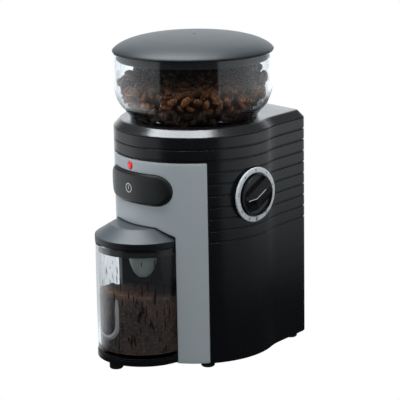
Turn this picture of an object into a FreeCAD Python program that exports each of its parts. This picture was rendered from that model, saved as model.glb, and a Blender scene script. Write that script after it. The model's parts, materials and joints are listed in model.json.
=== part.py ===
import FreeCAD, Part
import os
from math import acos, cos, degrees, pi, radians, sin, sqrt, tan

# Burr coffee grinder, millimetres, +Z up, front towards -Y, timer dial on +X.
# All sizes are written about the burr axis (x = y = 0, z = 0 on the table);
# the last step moves the whole grinder so that its origin is the centre of its own footprint.

V = FreeCAD.Vector

# ---- body ----
BODY_R = 65.0            # front of the body, about the burr axis
FLARE_R = 58.0           # hollow curve that leads from the round front to the tapered back
FLARE_ANGLE = 28.2       # where the hollow curve starts, behind +X
TAPER_ANGLE = 13.25      # taper of the flat flanks
REAR_Y = 83.0            # rear wall
REAR_CORNER_R = 8.0
WALL = 2.6
BODY_BOTTOM = 6.0        # the feet's height
BODY_TOP = 188.2         # where the top cover starts
COVER_HEIGHT = 6.2
CHAMFER = 5.8
COVER_PLATE = 3.0
GROOVE_COUNT = 9
GROOVE_PITCH = 9.25
GROOVE_BELOW_TOP = 9.05   # the first groove, under the cover's edge
GROOVE_HEIGHT = 1.3
GROOVE_DEPTH = 0.8

# ---- front panel ----
PANEL_ANGLE = 60.25      # half of the arc that it covers
PANEL_BELOW_TOP = 19.5
PANEL_SEAM = 0.25
MOUTH_GAP = 1.2          # beside the bin
MOUTH_TOP = 116.0
MOUTH_SHOULDER = 14.5     # how far the slanted corners reach in
MOUTH_SHOULDER_Z = 109.6
LED_BELOW_PANEL = 5.7
LENS_R = 3.0

# ---- power button ----
BUTTON_BELOW_PANEL = 22.8
BUTTON_HALF_W = 37.8
BUTTON_HALF_H = 12.1
BUTTON_PROUD = 2.0
BUTTON_GAP = 0.4
BUTTON_DEPTH = 6.0       # its inner face, behind the body's front
BUTTON_LIP = 1.4
BUTTON_TRAVEL = 1.5
SPRING_X = 30.0
ACTUATOR_X = 20.0
BOARD_DEPTH = 19.4       # front face of the circuit board, behind the body's front
BOARD_T = 1.6
BOARD_HALF_W = 34.5
BOARD_SPAN = (22.9, 21.6)   # below and above the button's middle
POST_X = 31.0
POST_SPAN = (18.4, 18.1)
POST_R = 3.0

# ---- bin, its bay and the tray ----
BIN_INSET = 10.3         # axis of the bin's round front, behind the body's front
BIN_R = 38.0
BIN_BACK = -20.0
BIN_WALL = 2.0
BIN_FLOOR = 2.6
TRAY_RIM = 0.56          # how far the tray stands out round the bin
TRAY_BOTTOM = 7.2
TRAY_TOP = 12.6
TRAY_LIP_Z = 11.2
TRAY_STEP = 0.7
PLAY = 0.4               # gap under, over and behind sliding pieces
CAP_Z = 101.7            # bottom edge of the cap's rim
CAP_RIM_TOP = 107.1
CAP_TOP = 115.4
CAP_SLOPE = 14.0         # plan width of the cap's sloping band
CAP_WALL = 1.8
CAP_SKIRT_Z = 95.3
FUNNEL_R = 12.4
FUNNEL_NECK_Z = 91.0
FUNNEL_TIP_Z = 71.0
FUNNEL_TIP_R = 4.6
FUNNEL_WALL = 1.3
BAY_WALL = 2.0
BAY_BACK = -18.6
BAY_ROOF = 117.5

# ---- base ----
PLATE_T = 3.0
FOOT_R = 5.5
FRONT_FOOT_INSET = 9.26  # its middle, from the tray's front edge
SIDE_FEET = (45.0, -26.0)
REAR_FEET = (33.0, 10.0)  # from the middle and from the rear wall
SCREW_R = 1.5
SCREW_HEAD_R = 2.8
SCREW_HEAD_T = 1.6
SCREW_ROWS = ((48.0, 6.0), (30.0, 62.0))
CORD_HOLE_Z = 20.0
GLAND_R = 6.0

# ---- hopper and lid ----
BOWL_R = 64.0
BOWL_WALL = 2.0
BOWL_HEIGHT = 53.1       # above the cover
BOWL_CURVE_HEIGHT = 29.6
BOWL_BASE_GAP = 0.4      # the bowl's foot is this much inside the adjusting ring
BOWL_CURVE = ((0.0, 0.0), (0.309, 0.179), (0.633, 0.345), (0.827, 0.52), (0.942, 0.716), (1.0, 1.0))
THROAT_R = 24.0
THROAT_DEPTH = 9.0       # below the cover's face
THROAT_WALL = 2.0
LID_R = 64.6
LID_GAP = 0.3
LID_HEIGHT = 13.6
LID_WALL = 2.0
PLUG_R = 60.0
PLUG_WALL = 1.8
PLUG_DEPTH = 7.0

# ---- burrs and adjuster ----
SHAFT_R = 4.0
RUN_FIT = 0.05           # radial play of a shaft in its bush
CONE_RISE = (13.0, 35.5)     # heights in the drive are above the grind chamber's underside
CONE_R = (20.0, 10.0)
CONE_SLOTS = 14
RING_RISE = (14.0, 35.0)
RING_BURR_R = 28.0
RING_BORE = (20.5, 16.6, 22.5)
RING_SLOTS = 28
CARRIER_WALL = 3.0
CARRIER_RISE = 37.6
THREAD_GAP = 0.35
SKIRT_WALL = 3.5
SKIRT_RISE = 20.0
ADJUST_R = 50.5
ADJUST_LEDGE = 2.1       # the flange that the cover holds down
ADJUST_FLANGE_RISE = (41.0, 44.8)
ADJUST_RISE = 47.0
SEAL_T = 1.0
CHAMBER_R = 36.2
CHAMBER_WALL = 2.2
CHAMBER_BELOW_TOP = 42.2
CHAMBER_HEIGHT = 40.6
CHAMBER_FLOOR = 3.0
CHAMBER_FLANGE_T = 2.6
COVER_POST_R = 3.0
COVER_POST_INSET = 7.8
IMPELLER_R = 33.0
IMPELLER_RISE = (4.0, 6.5)
VANE_RISE = 11.2
CHUTE_X = 9.6
CHUTE_WALL = 1.5

# ---- gear train ----
MODULE = 0.8
OUTPUT_TEETH = 56
IDLER_PINION_TEETH = 14
IDLER_TEETH = 48
MOTOR_TEETH = 12
MOTOR_Y = 14.0           # the motor's axis, behind the burr axis
BACKLASH = 0.14          # taken from each tooth's two flanks
GEARBOX_HEIGHT = 26.0
GEARBOX_LOWER = 12.8
GEARBOX_FLOOR = 3.0
GEARBOX_WALL = 2.4
LOWER_GEAR_RISE = (6.2, 11.2)    # above the gearbox's underside
UPPER_GEAR_RISE = (14.0, 20.4)
BUSH_WALL = 2.6
MOTOR_R = 21.0
MOTOR_LENGTH = 66.0
MOTOR_SHAFT_R = 2.5

# ---- timer ----
DIAL_ANGLE = 6.0         # the dial's axis, behind +X
DIAL_BELOW_TOP = 48.7
DIAL_RING_R = 21.7
DIAL_PROUD = 3.0         # the ring's face, in front of the body
KNOB_R = 16.2
KNOB_GAP = 0.5
KNOB_SKIRT_PROUD = 5.8
KNOB_PROUD = 9.5
TIMER_SHAFT_R = 3.0
TIMER_DEPTHS = (24.0, 8.0)  # its back and front, behind the body's skin
TIMER_HALF_W = 15.0
TIMER_HALF_H = 14.0
POINTER_ANGLE = -60.0    # where the pointer stands at rest, from straight down

# ---- bin switch ----
SWITCH_X = 25.0
SWITCH_Z = 60.0
PLUNGER_R = 2.0


def cyl(r, z0, z1, x=0.0, y=0.0):
    return Part.makeCylinder(r, z1 - z0, V(x, y, z0))


def tube(outer, inner, z0, z1, x=0.0, y=0.0):
    return cyl(outer, z0, z1, x, y).cut(cyl(inner, z0 - 1, z1 + 1, x, y))


def box(x0, x1, y0, y1, z0, z1):
    return Part.makeBox(x1 - x0, y1 - y0, z1 - z0, V(x0, y0, z0))


def rod(r, start, end):
    """A round bar from one point to another."""
    way = V(*end) - V(*start)
    return Part.makeCylinder(r, way.Length, V(*start), way)


def join(shapes):
    shapes = list(shapes)
    if len(shapes) == 1:
        return shapes[0]
    return shapes[0].fuse(shapes[1:]).removeSplitter()


def turn(points, x=0.0, y=0.0):
    """A closed outline of (radius, height) points, turned about a vertical axis."""
    face = Part.Face(Part.makePolygon([V(r, 0, z) for r, z in list(points) + [points[0]]]))
    solid = face.revolve(V(0, 0, 0), V(0, 0, 1), 360)
    solid.translate(V(x, y, 0))
    return solid


def smooth_turn(outer, inner):
    """A bowl or dome: two smooth curves of (radius, height) points joined at their ends."""
    edges = []
    for points in (outer, inner):
        curve = Part.BSplineCurve()
        curve.interpolate([V(r, 0, z) for r, z in points])
        edges.append(curve.toShape())
    ends = [(outer[-1], inner[-1]), (outer[0], inner[0])]
    for a, b in ends:
        if a != b:
            edges.append(Part.makeLine(V(a[0], 0, a[1]), V(b[0], 0, b[1])))
    wire = Part.Wire(Part.__sortEdges__(edges))
    return Part.Face(wire).revolve(V(0, 0, 0), V(0, 0, 1), 360)


def heading_left(angle, length):
    """The vector that points to the left of a heading given in degrees."""
    return V(-sin(radians(angle)) * length, cos(radians(angle)) * length, 0)


def body_outline(inset, z):
    """The body's plan, moved inwards: round front, hollow flares, tapered flanks, flat rear."""
    turned = 90 + TAPER_ANGLE
    middle = 90 + (FLARE_ANGLE + TAPER_ANGLE) / 2
    start = 90 + FLARE_ANGLE
    round_r = BODY_R - inset
    flare_r = FLARE_R + inset
    out = V(cos(radians(FLARE_ANGLE)), sin(radians(FLARE_ANGLE)), 0)
    flare_centre = out * (BODY_R + FLARE_R)
    corner_r = max(REAR_CORNER_R - inset, 0.8)
    flank = flare_centre + heading_left(turned, flare_r)
    along = V(cos(radians(turned)), sin(radians(turned)), 0)
    offset = flank + heading_left(turned, corner_r)
    corner = offset + along * ((REAR_Y - inset - corner_r - offset.y) / along.y)
    marks = [
        flare_centre + heading_left(start, flare_r),
        flare_centre + heading_left(middle, flare_r),
        flank,
        corner - heading_left(turned, corner_r),
        corner - heading_left((turned + 180) / 2, corner_r),
        corner - heading_left(180, corner_r),
    ]
    right = [V(p.x, p.y, z) for p in marks]
    left = [V(-p.x, p.y, z) for p in marks]
    edges = [
        Part.Arc(left[0], V(0, -round_r, z), right[0]).toShape(),
        Part.Arc(right[0], right[1], right[2]).toShape(),
        Part.makeLine(right[2], right[3]),
        Part.Arc(right[3], right[4], right[5]).toShape(),
        Part.makeLine(right[5], left[5]),
        Part.Arc(left[5], left[4], left[3]).toShape(),
        Part.makeLine(left[3], left[2]),
        Part.Arc(left[2], left[1], left[0]).toShape(),
    ]
    return Part.Wire(edges)


def body_prism(inset, z0, z1):
    return Part.Face(body_outline(inset, z0)).extrude(V(0, 0, z1 - z0))


def d_solid(profile, back):
    """A bin-shaped solid: a half turn about the bin's axis at the front, straight to the back."""
    ring = [V(r, BIN_Y, z) for r, z in profile]
    face = Part.Face(Part.makePolygon(ring + [ring[0]]))
    front = face.revolve(V(0, BIN_Y, 0), V(0, 0, 1), -180)
    right = face.extrude(V(0, back - BIN_Y, 0))
    left = right.mirror(V(0, 0, 0), V(1, 0, 0))
    return join([front, right, left])


def d_prism(r, z0, z1, back):
    return d_solid([(0, z0), (r, z0), (r, z1), (0, z1)], back)


def stadium(half_w, half_h, y0, y1):
    """The power button's outline, cut from front to back."""
    shapes = [box(-half_w + half_h, half_w - half_h, y0, y1, BUTTON_Z - half_h, BUTTON_Z + half_h)]
    for side in (-1, 1):
        x = side * (half_w - half_h)
        shapes.append(rod(half_h, (x, y0, BUTTON_Z), (x, y1, BUTTON_Z)))
    return join(shapes)


def spring_sleeve(r, wire, start, length):
    """A compression spring along +Y, drawn as the sleeve that its coils fill."""
    end = (start[0], start[1] + length, start[2])
    return rod(r + wire, start, end).cut(rod(r - wire, start, end))


def gear(teeth, x, y, z0, z1, phase):
    """A spur gear with involute flanks; one tooth stands at the angle `phase`."""
    pitch_r = MODULE * teeth / 2
    base_r = pitch_r * cos(radians(20))
    tip_r = pitch_r + MODULE * 0.95
    root_r = pitch_r - MODULE * 1.25
    spread = tan(radians(20)) - radians(20)
    half = pi / (2 * teeth) - BACKLASH / (2 * pitch_r)

    def flank(r):
        roll = acos(min(1.0, base_r / r))
        return half + spread - (tan(roll) - roll)

    radii = [max(base_r, root_r + 0.05), pitch_r, tip_r]
    points = []
    for k in range(teeth):
        centre = radians(phase) + 2 * pi * k / teeth
        outline = [(root_r, -flank(radii[0]))]
        outline += [(r, -flank(r)) for r in radii]
        outline += [(r, flank(r)) for r in reversed(radii)]
        outline += [(root_r, flank(radii[0]))]
        for r, angle in outline:
            p = V(x + r * cos(centre + angle), y + r * sin(centre + angle), z0)
            if not points or (p - points[-1]).Length > 1e-4:
                points.append(p)
    return Part.Face(Part.makePolygon(points + [points[0]])).extrude(V(0, 0, z1 - z0))


def dialwise(shape):
    """From the dial's own frame (z outwards, x down) to its place on the body."""
    placed = shape.copy()
    placed.rotate(V(0, 0, 0), V(0, 1, 0), 90)
    placed.rotate(V(0, 0, 0), V(0, 0, 1), DIAL_ANGLE)
    placed.translate(V(0, 0, DIAL_Z))
    return placed


def screw(x, y, seat, length, up):
    """A pan-head screw; `up` is 1 when its head is below its thread, -1 when above."""
    tip = seat + up * length
    head = seat - up * SCREW_HEAD_T
    shank = cyl(SCREW_R, min(seat, tip), max(seat, tip), x, y)
    disc = cyl(SCREW_HEAD_R, min(seat, head), max(seat, head), x, y)
    slot_z = head + up * SCREW_HEAD_T / 2
    slot = box(x - 0.4, x + 0.4, y - 2, y + 2, min(head, slot_z), max(head, slot_z))
    return join([disc, shank]).cut(slot)


# ---- places that follow from the sizes above ----
COVER_TOP = BODY_TOP + COVER_HEIGHT
GROOVE_TOP_Z = BODY_TOP - GROOVE_BELOW_TOP
PANEL_TOP = BODY_TOP - PANEL_BELOW_TOP
LED_Z = PANEL_TOP - LED_BELOW_PANEL
BUTTON_Z = PANEL_TOP - BUTTON_BELOW_PANEL
BUTTON_BACK = BODY_R - BUTTON_DEPTH
BOARD_Y = BOARD_DEPTH - BODY_R
BOARD_Z = (BUTTON_Z - BOARD_SPAN[0], BUTTON_Z + BOARD_SPAN[1])
POST_Z = (BUTTON_Z - POST_SPAN[0], BUTTON_Z + POST_SPAN[1])
MOUTH_X = BIN_R + MOUTH_GAP
MOUTH_SHOULDER_X = MOUTH_X - MOUTH_SHOULDER
BIN_Y = BIN_INSET - BODY_R
TRAY_R = BIN_R + TRAY_RIM
CAP_TOP_R = BIN_R - CAP_SLOPE
REAR_FOOT_Y = REAR_Y - REAR_FEET[1]
FOOT_PLACES = [(0.0, BIN_Y - TRAY_R + FRONT_FOOT_INSET)]
FOOT_PLACES += [(side * SIDE_FEET[0], SIDE_FEET[1]) for side in (1, -1)]
FOOT_PLACES += [(side * REAR_FEET[0], REAR_FOOT_Y) for side in (1, -1)]
BASE_SCREWS = [(side * x, y) for x, y in SCREW_ROWS for side in (1, -1)]
BOWL_BASE_R = ADJUST_R - BOWL_BASE_GAP
BOWL_TOP = COVER_TOP + BOWL_HEIGHT
BOWL_STRAIGHT_Z = COVER_TOP + BOWL_CURVE_HEIGHT
THROAT_Z = COVER_TOP - THROAT_DEPTH
LID_Z = BOWL_TOP + LID_GAP
DRIVE_Z = BODY_TOP - CHAMBER_BELOW_TOP
CHAMBER_Z = (DRIVE_Z, DRIVE_Z + CHAMBER_HEIGHT)
CONE_Z = (DRIVE_Z + CONE_RISE[0], DRIVE_Z + CONE_RISE[1])
RING_Z = (DRIVE_Z + RING_RISE[0], DRIVE_Z + RING_RISE[1])
CARRIER_TOP = DRIVE_Z + CARRIER_RISE
SKIRT_Z = DRIVE_Z + SKIRT_RISE
ADJUST_FLANGE_R = ADJUST_R + ADJUST_LEDGE
ADJUST_FLANGE_Z = (DRIVE_Z + ADJUST_FLANGE_RISE[0], DRIVE_Z + ADJUST_FLANGE_RISE[1])
ADJUST_TOP = DRIVE_Z + ADJUST_RISE
COVER_POST_PLACE = BODY_R - COVER_POST_INSET
IMPELLER_Z = (DRIVE_Z + IMPELLER_RISE[0], DRIVE_Z + IMPELLER_RISE[1])
VANE_TOP = DRIVE_Z + VANE_RISE
GEARBOX_Z = (DRIVE_Z - GEARBOX_HEIGHT, DRIVE_Z)
GEARBOX_SPLIT = GEARBOX_Z[0] + GEARBOX_LOWER
LOWER_GEAR_Z = (GEARBOX_Z[0] + LOWER_GEAR_RISE[0], GEARBOX_Z[0] + LOWER_GEAR_RISE[1])
UPPER_GEAR_Z = (GEARBOX_Z[0] + UPPER_GEAR_RISE[0], GEARBOX_Z[0] + UPPER_GEAR_RISE[1])
DIAL_Z = BODY_TOP - DIAL_BELOW_TOP
DIAL_FACE = BODY_R + DIAL_PROUD
KNOB_SKIRT = BODY_R + KNOB_SKIRT_PROUD
KNOB_TOP = BODY_R + KNOB_PROUD
TIMER_BOX = (BODY_R - TIMER_DEPTHS[0], BODY_R - TIMER_DEPTHS[1])
PANEL_IN = BODY_R - WALL
PLATE_TOP = BODY_BOTTOM + PLATE_T
UPPER_DISTANCE = MODULE * (OUTPUT_TEETH + IDLER_PINION_TEETH) / 2
LOWER_DISTANCE = MODULE * (IDLER_TEETH + MOTOR_TEETH) / 2
# the idler stands where its distances to the burr axis and to the motor's axis both fit
IDLER_Y = (UPPER_DISTANCE ** 2 - LOWER_DISTANCE ** 2 + MOTOR_Y ** 2) / (2 * MOTOR_Y)
IDLER_X = -sqrt(UPPER_DISTANCE ** 2 - IDLER_Y ** 2)
COVER_UNDER = COVER_TOP - COVER_PLATE
CARRIER_R = RING_BURR_R + CARRIER_WALL
SKIRT_BORE = CARRIER_R + THREAD_GAP
CHAMBER_OUT = CHAMBER_R + CHAMBER_WALL
BUSH_R = SHAFT_R + RUN_FIT + BUSH_WALL
BIN_BOTTOM = TRAY_TOP + PLAY
POST_ANGLES = (-45, -135, 45, 135)
GEARBOX_SCREW_PLACES = ((26.2, -5.2), (-44, 27), (-25.6, -8))
BOARD_BACK = BOARD_Y + BOARD_T
CHUTE_TOP = DRIVE_Z + 14.0
CHUTE_FRONT = BIN_Y - 2.8
CHUTE_REAR = BIN_Y + 8.7
CHUTE_HEAD = -CHAMBER_OUT + 2.4

nodes = {}


def bearing_angle(from_xy, to_xy):
    dx = to_xy[0] - from_xy[0]
    dy = to_xy[1] - from_xy[1]
    angle = degrees(acos(dx / sqrt(dx * dx + dy * dy)))
    return angle if dy >= 0 else -angle


def panel_sector(angle, z0, z1, r0, r1):
    """A curved sector of the round front, `angle` degrees to each side."""
    face = Part.Face(Part.makePolygon([V(0, -r1, z0), V(0, -r0, z0), V(0, -r0, z1), V(0, -r1, z1),
                                       V(0, -r1, z0)]))
    right = face.revolve(V(0, 0, 0), V(0, 0, 1), angle)
    left = face.revolve(V(0, 0, 0), V(0, 0, 1), -angle)
    return join([right, left])


def mouth_prism(grow):
    """The bin opening's outline, cut along Y."""
    points = [(-MOUTH_X, 0), (-MOUTH_X, MOUTH_SHOULDER_Z), (-MOUTH_SHOULDER_X, MOUTH_TOP),
              (MOUTH_SHOULDER_X, MOUTH_TOP), (MOUTH_X, MOUTH_SHOULDER_Z), (MOUTH_X, 0)]
    wire = Part.makePolygon([V(x, -BODY_R - 5, z + grow) for x, z in points + [points[0]]])
    return Part.Face(wire).extrude(V(0, BODY_R, 0))


def make_housing():
    shell = body_prism(0, BODY_BOTTOM, BODY_TOP).cut(body_prism(WALL, 0, COVER_TOP))
    rings = []
    for k in range(GROOVE_COUNT):
        z = GROOVE_TOP_Z - k * GROOVE_PITCH - GROOVE_HEIGHT / 2
        band = body_prism(-1, z, z + GROOVE_HEIGHT).cut(body_prism(GROOVE_DEPTH, z - 1, z + 3))
        rings.append(band)
    shell = shell.cut(rings)
    window = panel_sector(PANEL_ANGLE + 0.1, 0, PANEL_TOP + PANEL_SEAM, PANEL_IN - 2, BODY_R + 2)
    shell = shell.cut(window)
    # a ledge behind the seam carries the panel's edges
    edge = panel_sector(PANEL_ANGLE + 2.5, BODY_BOTTOM + PLATE_T, PANEL_TOP + 3, PANEL_IN - 1.5, PANEL_IN)
    edge = edge.cut(panel_sector(PANEL_ANGLE - 2.5, 0, PANEL_TOP - 2.5, PANEL_IN - 3, PANEL_IN + 1))
    shell = shell.fuse(edge).removeSplitter()
    dial = cyl(TIMER_SHAFT_R + 4, BODY_R - 8, BODY_R + 6)
    shell = shell.cut(dialwise(dial))
    gland = rod(GLAND_R - 1.5, (0, REAR_Y - 8, CORD_HOLE_Z), (0, REAR_Y + 3, CORD_HOLE_Z))
    return shell.cut(gland)


def make_cover():
    block = Part.makeLoft([body_outline(0, BODY_TOP), body_outline(CHAMFER, COVER_TOP)], True, True)
    hollow = body_prism(CHAMFER + WALL / 2, BODY_TOP - 1, COVER_UNDER)
    cover = block.cut([hollow, cyl(ADJUST_R + PLAY, BODY_TOP - 1, COVER_TOP + 1)])
    posts = []
    for angle in POST_ANGLES:
        x = COVER_POST_PLACE * cos(radians(angle))
        y = COVER_POST_PLACE * sin(radians(angle))
        post = cyl(COVER_POST_R, CHAMBER_Z[1], COVER_UNDER + 0.5, x, y)
        posts.append(post)
    cover = join([cover] + posts)
    return cover.cut([screw_hole(a) for a in POST_ANGLES])


def screw_hole(angle):
    x = COVER_POST_PLACE * cos(radians(angle))
    y = COVER_POST_PLACE * sin(radians(angle))
    return cyl(SCREW_R, CHAMBER_Z[1] - 5, CHAMBER_Z[1] + 4, x, y)


def make_panel():
    panel = panel_sector(PANEL_ANGLE - 0.1, BODY_BOTTOM, PANEL_TOP, PANEL_IN, BODY_R)
    button = stadium(BUTTON_HALF_W + BUTTON_GAP, BUTTON_HALF_H + BUTTON_GAP, -BODY_R - 5, -20)
    lens = rod(LENS_R, (0, -BODY_R - 5, LED_Z), (0, BOARD_Y, LED_Z))
    panel = panel.cut([mouth_prism(0), button, lens])
    posts = []
    for x in (-POST_X, POST_X):
        for z in POST_Z:
            front = -sqrt(PANEL_IN ** 2 - x ** 2)
            posts.append(rod(POST_R, (x, front - 0.6, z), (x, BOARD_Y, z)))
    panel = join([panel] + posts)
    holes = [rod(1.1, (x, BOARD_Y - 6, z), (x, BOARD_Y + 5, z)) for x in (-POST_X, POST_X) for z in POST_Z]
    return panel.cut(holes)


def make_button():
    face = tube(BODY_R + BUTTON_PROUD, BUTTON_BACK, BUTTON_Z - 30, BUTTON_Z + 30)
    # the top edge is bevelled
    bevel = turn([(BODY_R + 0.4, BUTTON_Z + BUTTON_HALF_H + 0.1), (BODY_R + 9, BUTTON_Z + BUTTON_HALF_H + 0.1),
                  (BODY_R + 9, BUTTON_Z + BUTTON_HALF_H - 8)])
    button = face.common(stadium(BUTTON_HALF_W, BUTTON_HALF_H, -BODY_R - 5, -20)).cut(bevel)
    lip = tube(BUTTON_BACK + 1.5, BUTTON_BACK, BUTTON_Z - 30, BUTTON_Z + 30)
    lip = lip.common(stadium(BUTTON_HALF_W + BUTTON_LIP, BUTTON_HALF_H + BUTTON_LIP, -BODY_R - 5, -20))
    pins = []
    for x, end in ((-SPRING_X, BOARD_Y - 2.2), (SPRING_X, BOARD_Y - 2.2), (ACTUATOR_X, BOARD_Y - 5.4)):
        start = -sqrt((BUTTON_BACK + 1) ** 2 - x ** 2)
        pins.append(rod(1.4, (x, start, BUTTON_Z), (x, end, BUTTON_Z)))
    return join([button, lip] + pins)


def make_springs():
    start = -sqrt(BUTTON_BACK ** 2 - (SPRING_X + 2.6) ** 2) + 0.9
    springs = []
    for x in (-SPRING_X, SPRING_X):
        springs.append(spring_sleeve(2.2, 0.35, (x, start, BUTTON_Z), BOARD_Y - start))
    return Part.makeCompound(springs)


def make_board():
    board = box(-BOARD_HALF_W, BOARD_HALF_W, BOARD_Y, BOARD_BACK, BOARD_Z[0], BOARD_Z[1])
    notch = box(-CHUTE_X - 1.5, CHUTE_X + 1.5, BOARD_Y - 1, BOARD_Y + 3, BOARD_Z[0] - 1, CHUTE_TOP + 1.5)
    holes = [rod(SCREW_R - 0.4, (x, BOARD_Y - 1, z), (x, BOARD_Y + 4, z)) for x in (-POST_X, POST_X)
             for z in POST_Z]
    board = board.cut([notch] + holes)
    chips = [box(-29, -17, BOARD_BACK, BOARD_BACK + 2, BUTTON_Z - 13.9, BUTTON_Z - 1.9),
             box(16, 26, BOARD_BACK, BOARD_BACK + 3, BUTTON_Z - 17.9, BUTTON_Z - 9.9)]
    return join([board] + chips)


def make_board_screws():
    screws = []
    for x in (-POST_X, POST_X):
        for z in POST_Z:
            shank = rod(1.1, (x, BOARD_BACK + 0.1, z), (x, BOARD_Y - 5, z))
            head = rod(2.3, (x, BOARD_BACK, z), (x, BOARD_BACK + 1.3, z))
            slot = box(x - 0.3, x + 0.3, BOARD_BACK + 0.7, BOARD_BACK + 2, z - 2, z + 2)
            screws.append(join([head, shank]).cut(slot))
    return Part.makeCompound(screws)


def make_base():
    plate = body_prism(WALL, BODY_BOTTOM, PLATE_TOP)
    tray = d_solid([(0, TRAY_BOTTOM), (TRAY_R, TRAY_BOTTOM), (TRAY_R, TRAY_LIP_Z),
                    (TRAY_R - TRAY_STEP, TRAY_LIP_Z), (TRAY_R - TRAY_STEP, TRAY_TOP), (0, TRAY_TOP)], BAY_BACK)
    base = join([plate, tray])
    vents = []
    for k in range(6):
        x = (k - 2.5) * 6.0
        vents.append(box(x - 1.4, x + 1.4, 2, 34, BODY_BOTTOM - 1, PLATE_TOP + 1))
    # the edge of the panel's ledge stands on the plate; screws pass through it
    holes = [cyl(SCREW_R, 0, 20, x, y) for x, y in BASE_SCREWS]
    return base.cut(vents + holes)


def make_base_bosses():
    bosses = []
    for x, y in BASE_SCREWS:
        boss = cyl(4.0, PLATE_TOP, PLATE_TOP + 16, x, y).cut(cyl(SCREW_R, 0, PLATE_TOP + 12, x, y))
        side = 1 if x > 0 else -1
        rib = box(min(x, side * BODY_R), max(x, side * BODY_R), y - 1, y + 1, PLATE_TOP + 0.4, PLATE_TOP + 16)
        rib = rib.cut(cyl(SCREW_R, 0, PLATE_TOP + 12, x, y)).common(body_prism(WALL - 0.5, 0, 60))
        bosses.append(join([boss, rib]))
    return bosses


def make_feet():
    feet = []
    for x, y in FOOT_PLACES:
        seat = TRAY_BOTTOM if y < -BODY_R else BODY_BOTTOM
        feet.append(turn([(0, 0), (FOOT_R - 0.8, 0), (FOOT_R, 0.8), (FOOT_R, seat), (0, seat)], x, y))
    return Part.makeCompound(feet)


def make_bay():
    outer = box(-MOUTH_X - BAY_WALL, MOUTH_X + BAY_WALL, -BODY_R, BAY_BACK + BAY_WALL, PLATE_TOP,
                BAY_ROOF + BAY_WALL)
    inner = box(-MOUTH_X, MOUTH_X, -BODY_R - 1, BAY_BACK, PLATE_TOP - 1, BAY_ROOF)
    bay = outer.cut(inner).common(cyl(PANEL_IN - 0.1, 0, 200))
    outlet = box(-CHUTE_X - 0.1, CHUTE_X + 0.1, CHUTE_FRONT - 0.2, CHUTE_REAR + 0.8, BAY_ROOF - 1, BAY_ROOF + 5)
    pin = rod(PLUNGER_R + 0.4, (SWITCH_X, BAY_BACK - 1, SWITCH_Z), (SWITCH_X, BAY_BACK + 4, SWITCH_Z))
    return bay.cut([outlet, pin])


def make_bin():
    outer = d_prism(BIN_R, BIN_BOTTOM, CAP_Z - 0.1, BIN_BACK)
    inner = d_prism(BIN_R - BIN_WALL, BIN_BOTTOM + BIN_FLOOR, CAP_Z + 5, BIN_BACK - BIN_WALL)
    return outer.cut(inner)


def make_cap():
    outer = [(0, CAP_TOP), (CAP_TOP_R, CAP_TOP), (BIN_R - 0.6, CAP_RIM_TOP + 0.2), (BIN_R, CAP_RIM_TOP - 0.3),
             (BIN_R, CAP_Z), (0, CAP_Z)]
    inner = [(0, CAP_TOP - CAP_WALL), (CAP_TOP_R - 0.8, CAP_TOP - CAP_WALL),
             (BIN_R - BIN_WALL - CAP_WALL, CAP_RIM_TOP - CAP_WALL), (BIN_R - BIN_WALL - CAP_WALL, CAP_SKIRT_Z - 1),
             (0, CAP_SKIRT_Z - 1)]
    skirt = d_prism(BIN_R - BIN_WALL - 0.1, CAP_SKIRT_Z, CAP_Z, BIN_BACK - BIN_WALL - 0.1)
    cap = join([d_solid(outer, BIN_BACK), skirt]).cut(d_solid(inner, BIN_BACK - BIN_WALL - CAP_WALL))
    return cap.cut(cyl(FUNNEL_R - FUNNEL_WALL, CAP_TOP - 5, CAP_TOP + 1, 0, BIN_Y))


def make_funnel():
    top = CAP_TOP - CAP_WALL
    w = FUNNEL_WALL
    outer = [(FUNNEL_R, FUNNEL_NECK_Z), (FUNNEL_R * 0.86, FUNNEL_NECK_Z - 9), (FUNNEL_R * 0.62, FUNNEL_TIP_Z + 3.6),
             (FUNNEL_TIP_R, FUNNEL_TIP_Z)]
    inner = [(r - w, z) for r, z in reversed(outer)]
    return turn([(FUNNEL_R - w, top), (FUNNEL_R + 3, top), (FUNNEL_R + 3, top - 1.5), (FUNNEL_R, top - 1.5)]
                + outer + inner, 0, BIN_Y)


def make_bowl():
    s = BOWL_WALL
    span = BOWL_R - BOWL_BASE_R
    curve = [(BOWL_BASE_R + span * a, COVER_TOP + BOWL_CURVE_HEIGHT * b) for a, b in BOWL_CURVE]
    rise = BOWL_CURVE_HEIGHT - s - 0.4
    inside = [(BOWL_BASE_R - s + span * a, COVER_TOP + s + 0.4 + rise * b) for a, b in BOWL_CURVE]
    curved = smooth_turn(curve, inside)
    wall = tube(BOWL_R, BOWL_R - s, BOWL_STRAIGHT_Z, BOWL_TOP)
    floor = turn([(BOWL_BASE_R, COVER_TOP), (BOWL_BASE_R - s, COVER_TOP + s + 0.4), (THROAT_R - THROAT_WALL, COVER_TOP - 5),
                  (THROAT_R - THROAT_WALL, THROAT_Z), (THROAT_R, THROAT_Z), (THROAT_R, COVER_TOP - 6.4),
                  (BOWL_BASE_R - 9, COVER_TOP)])
    return join([curved, wall, floor])


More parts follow.
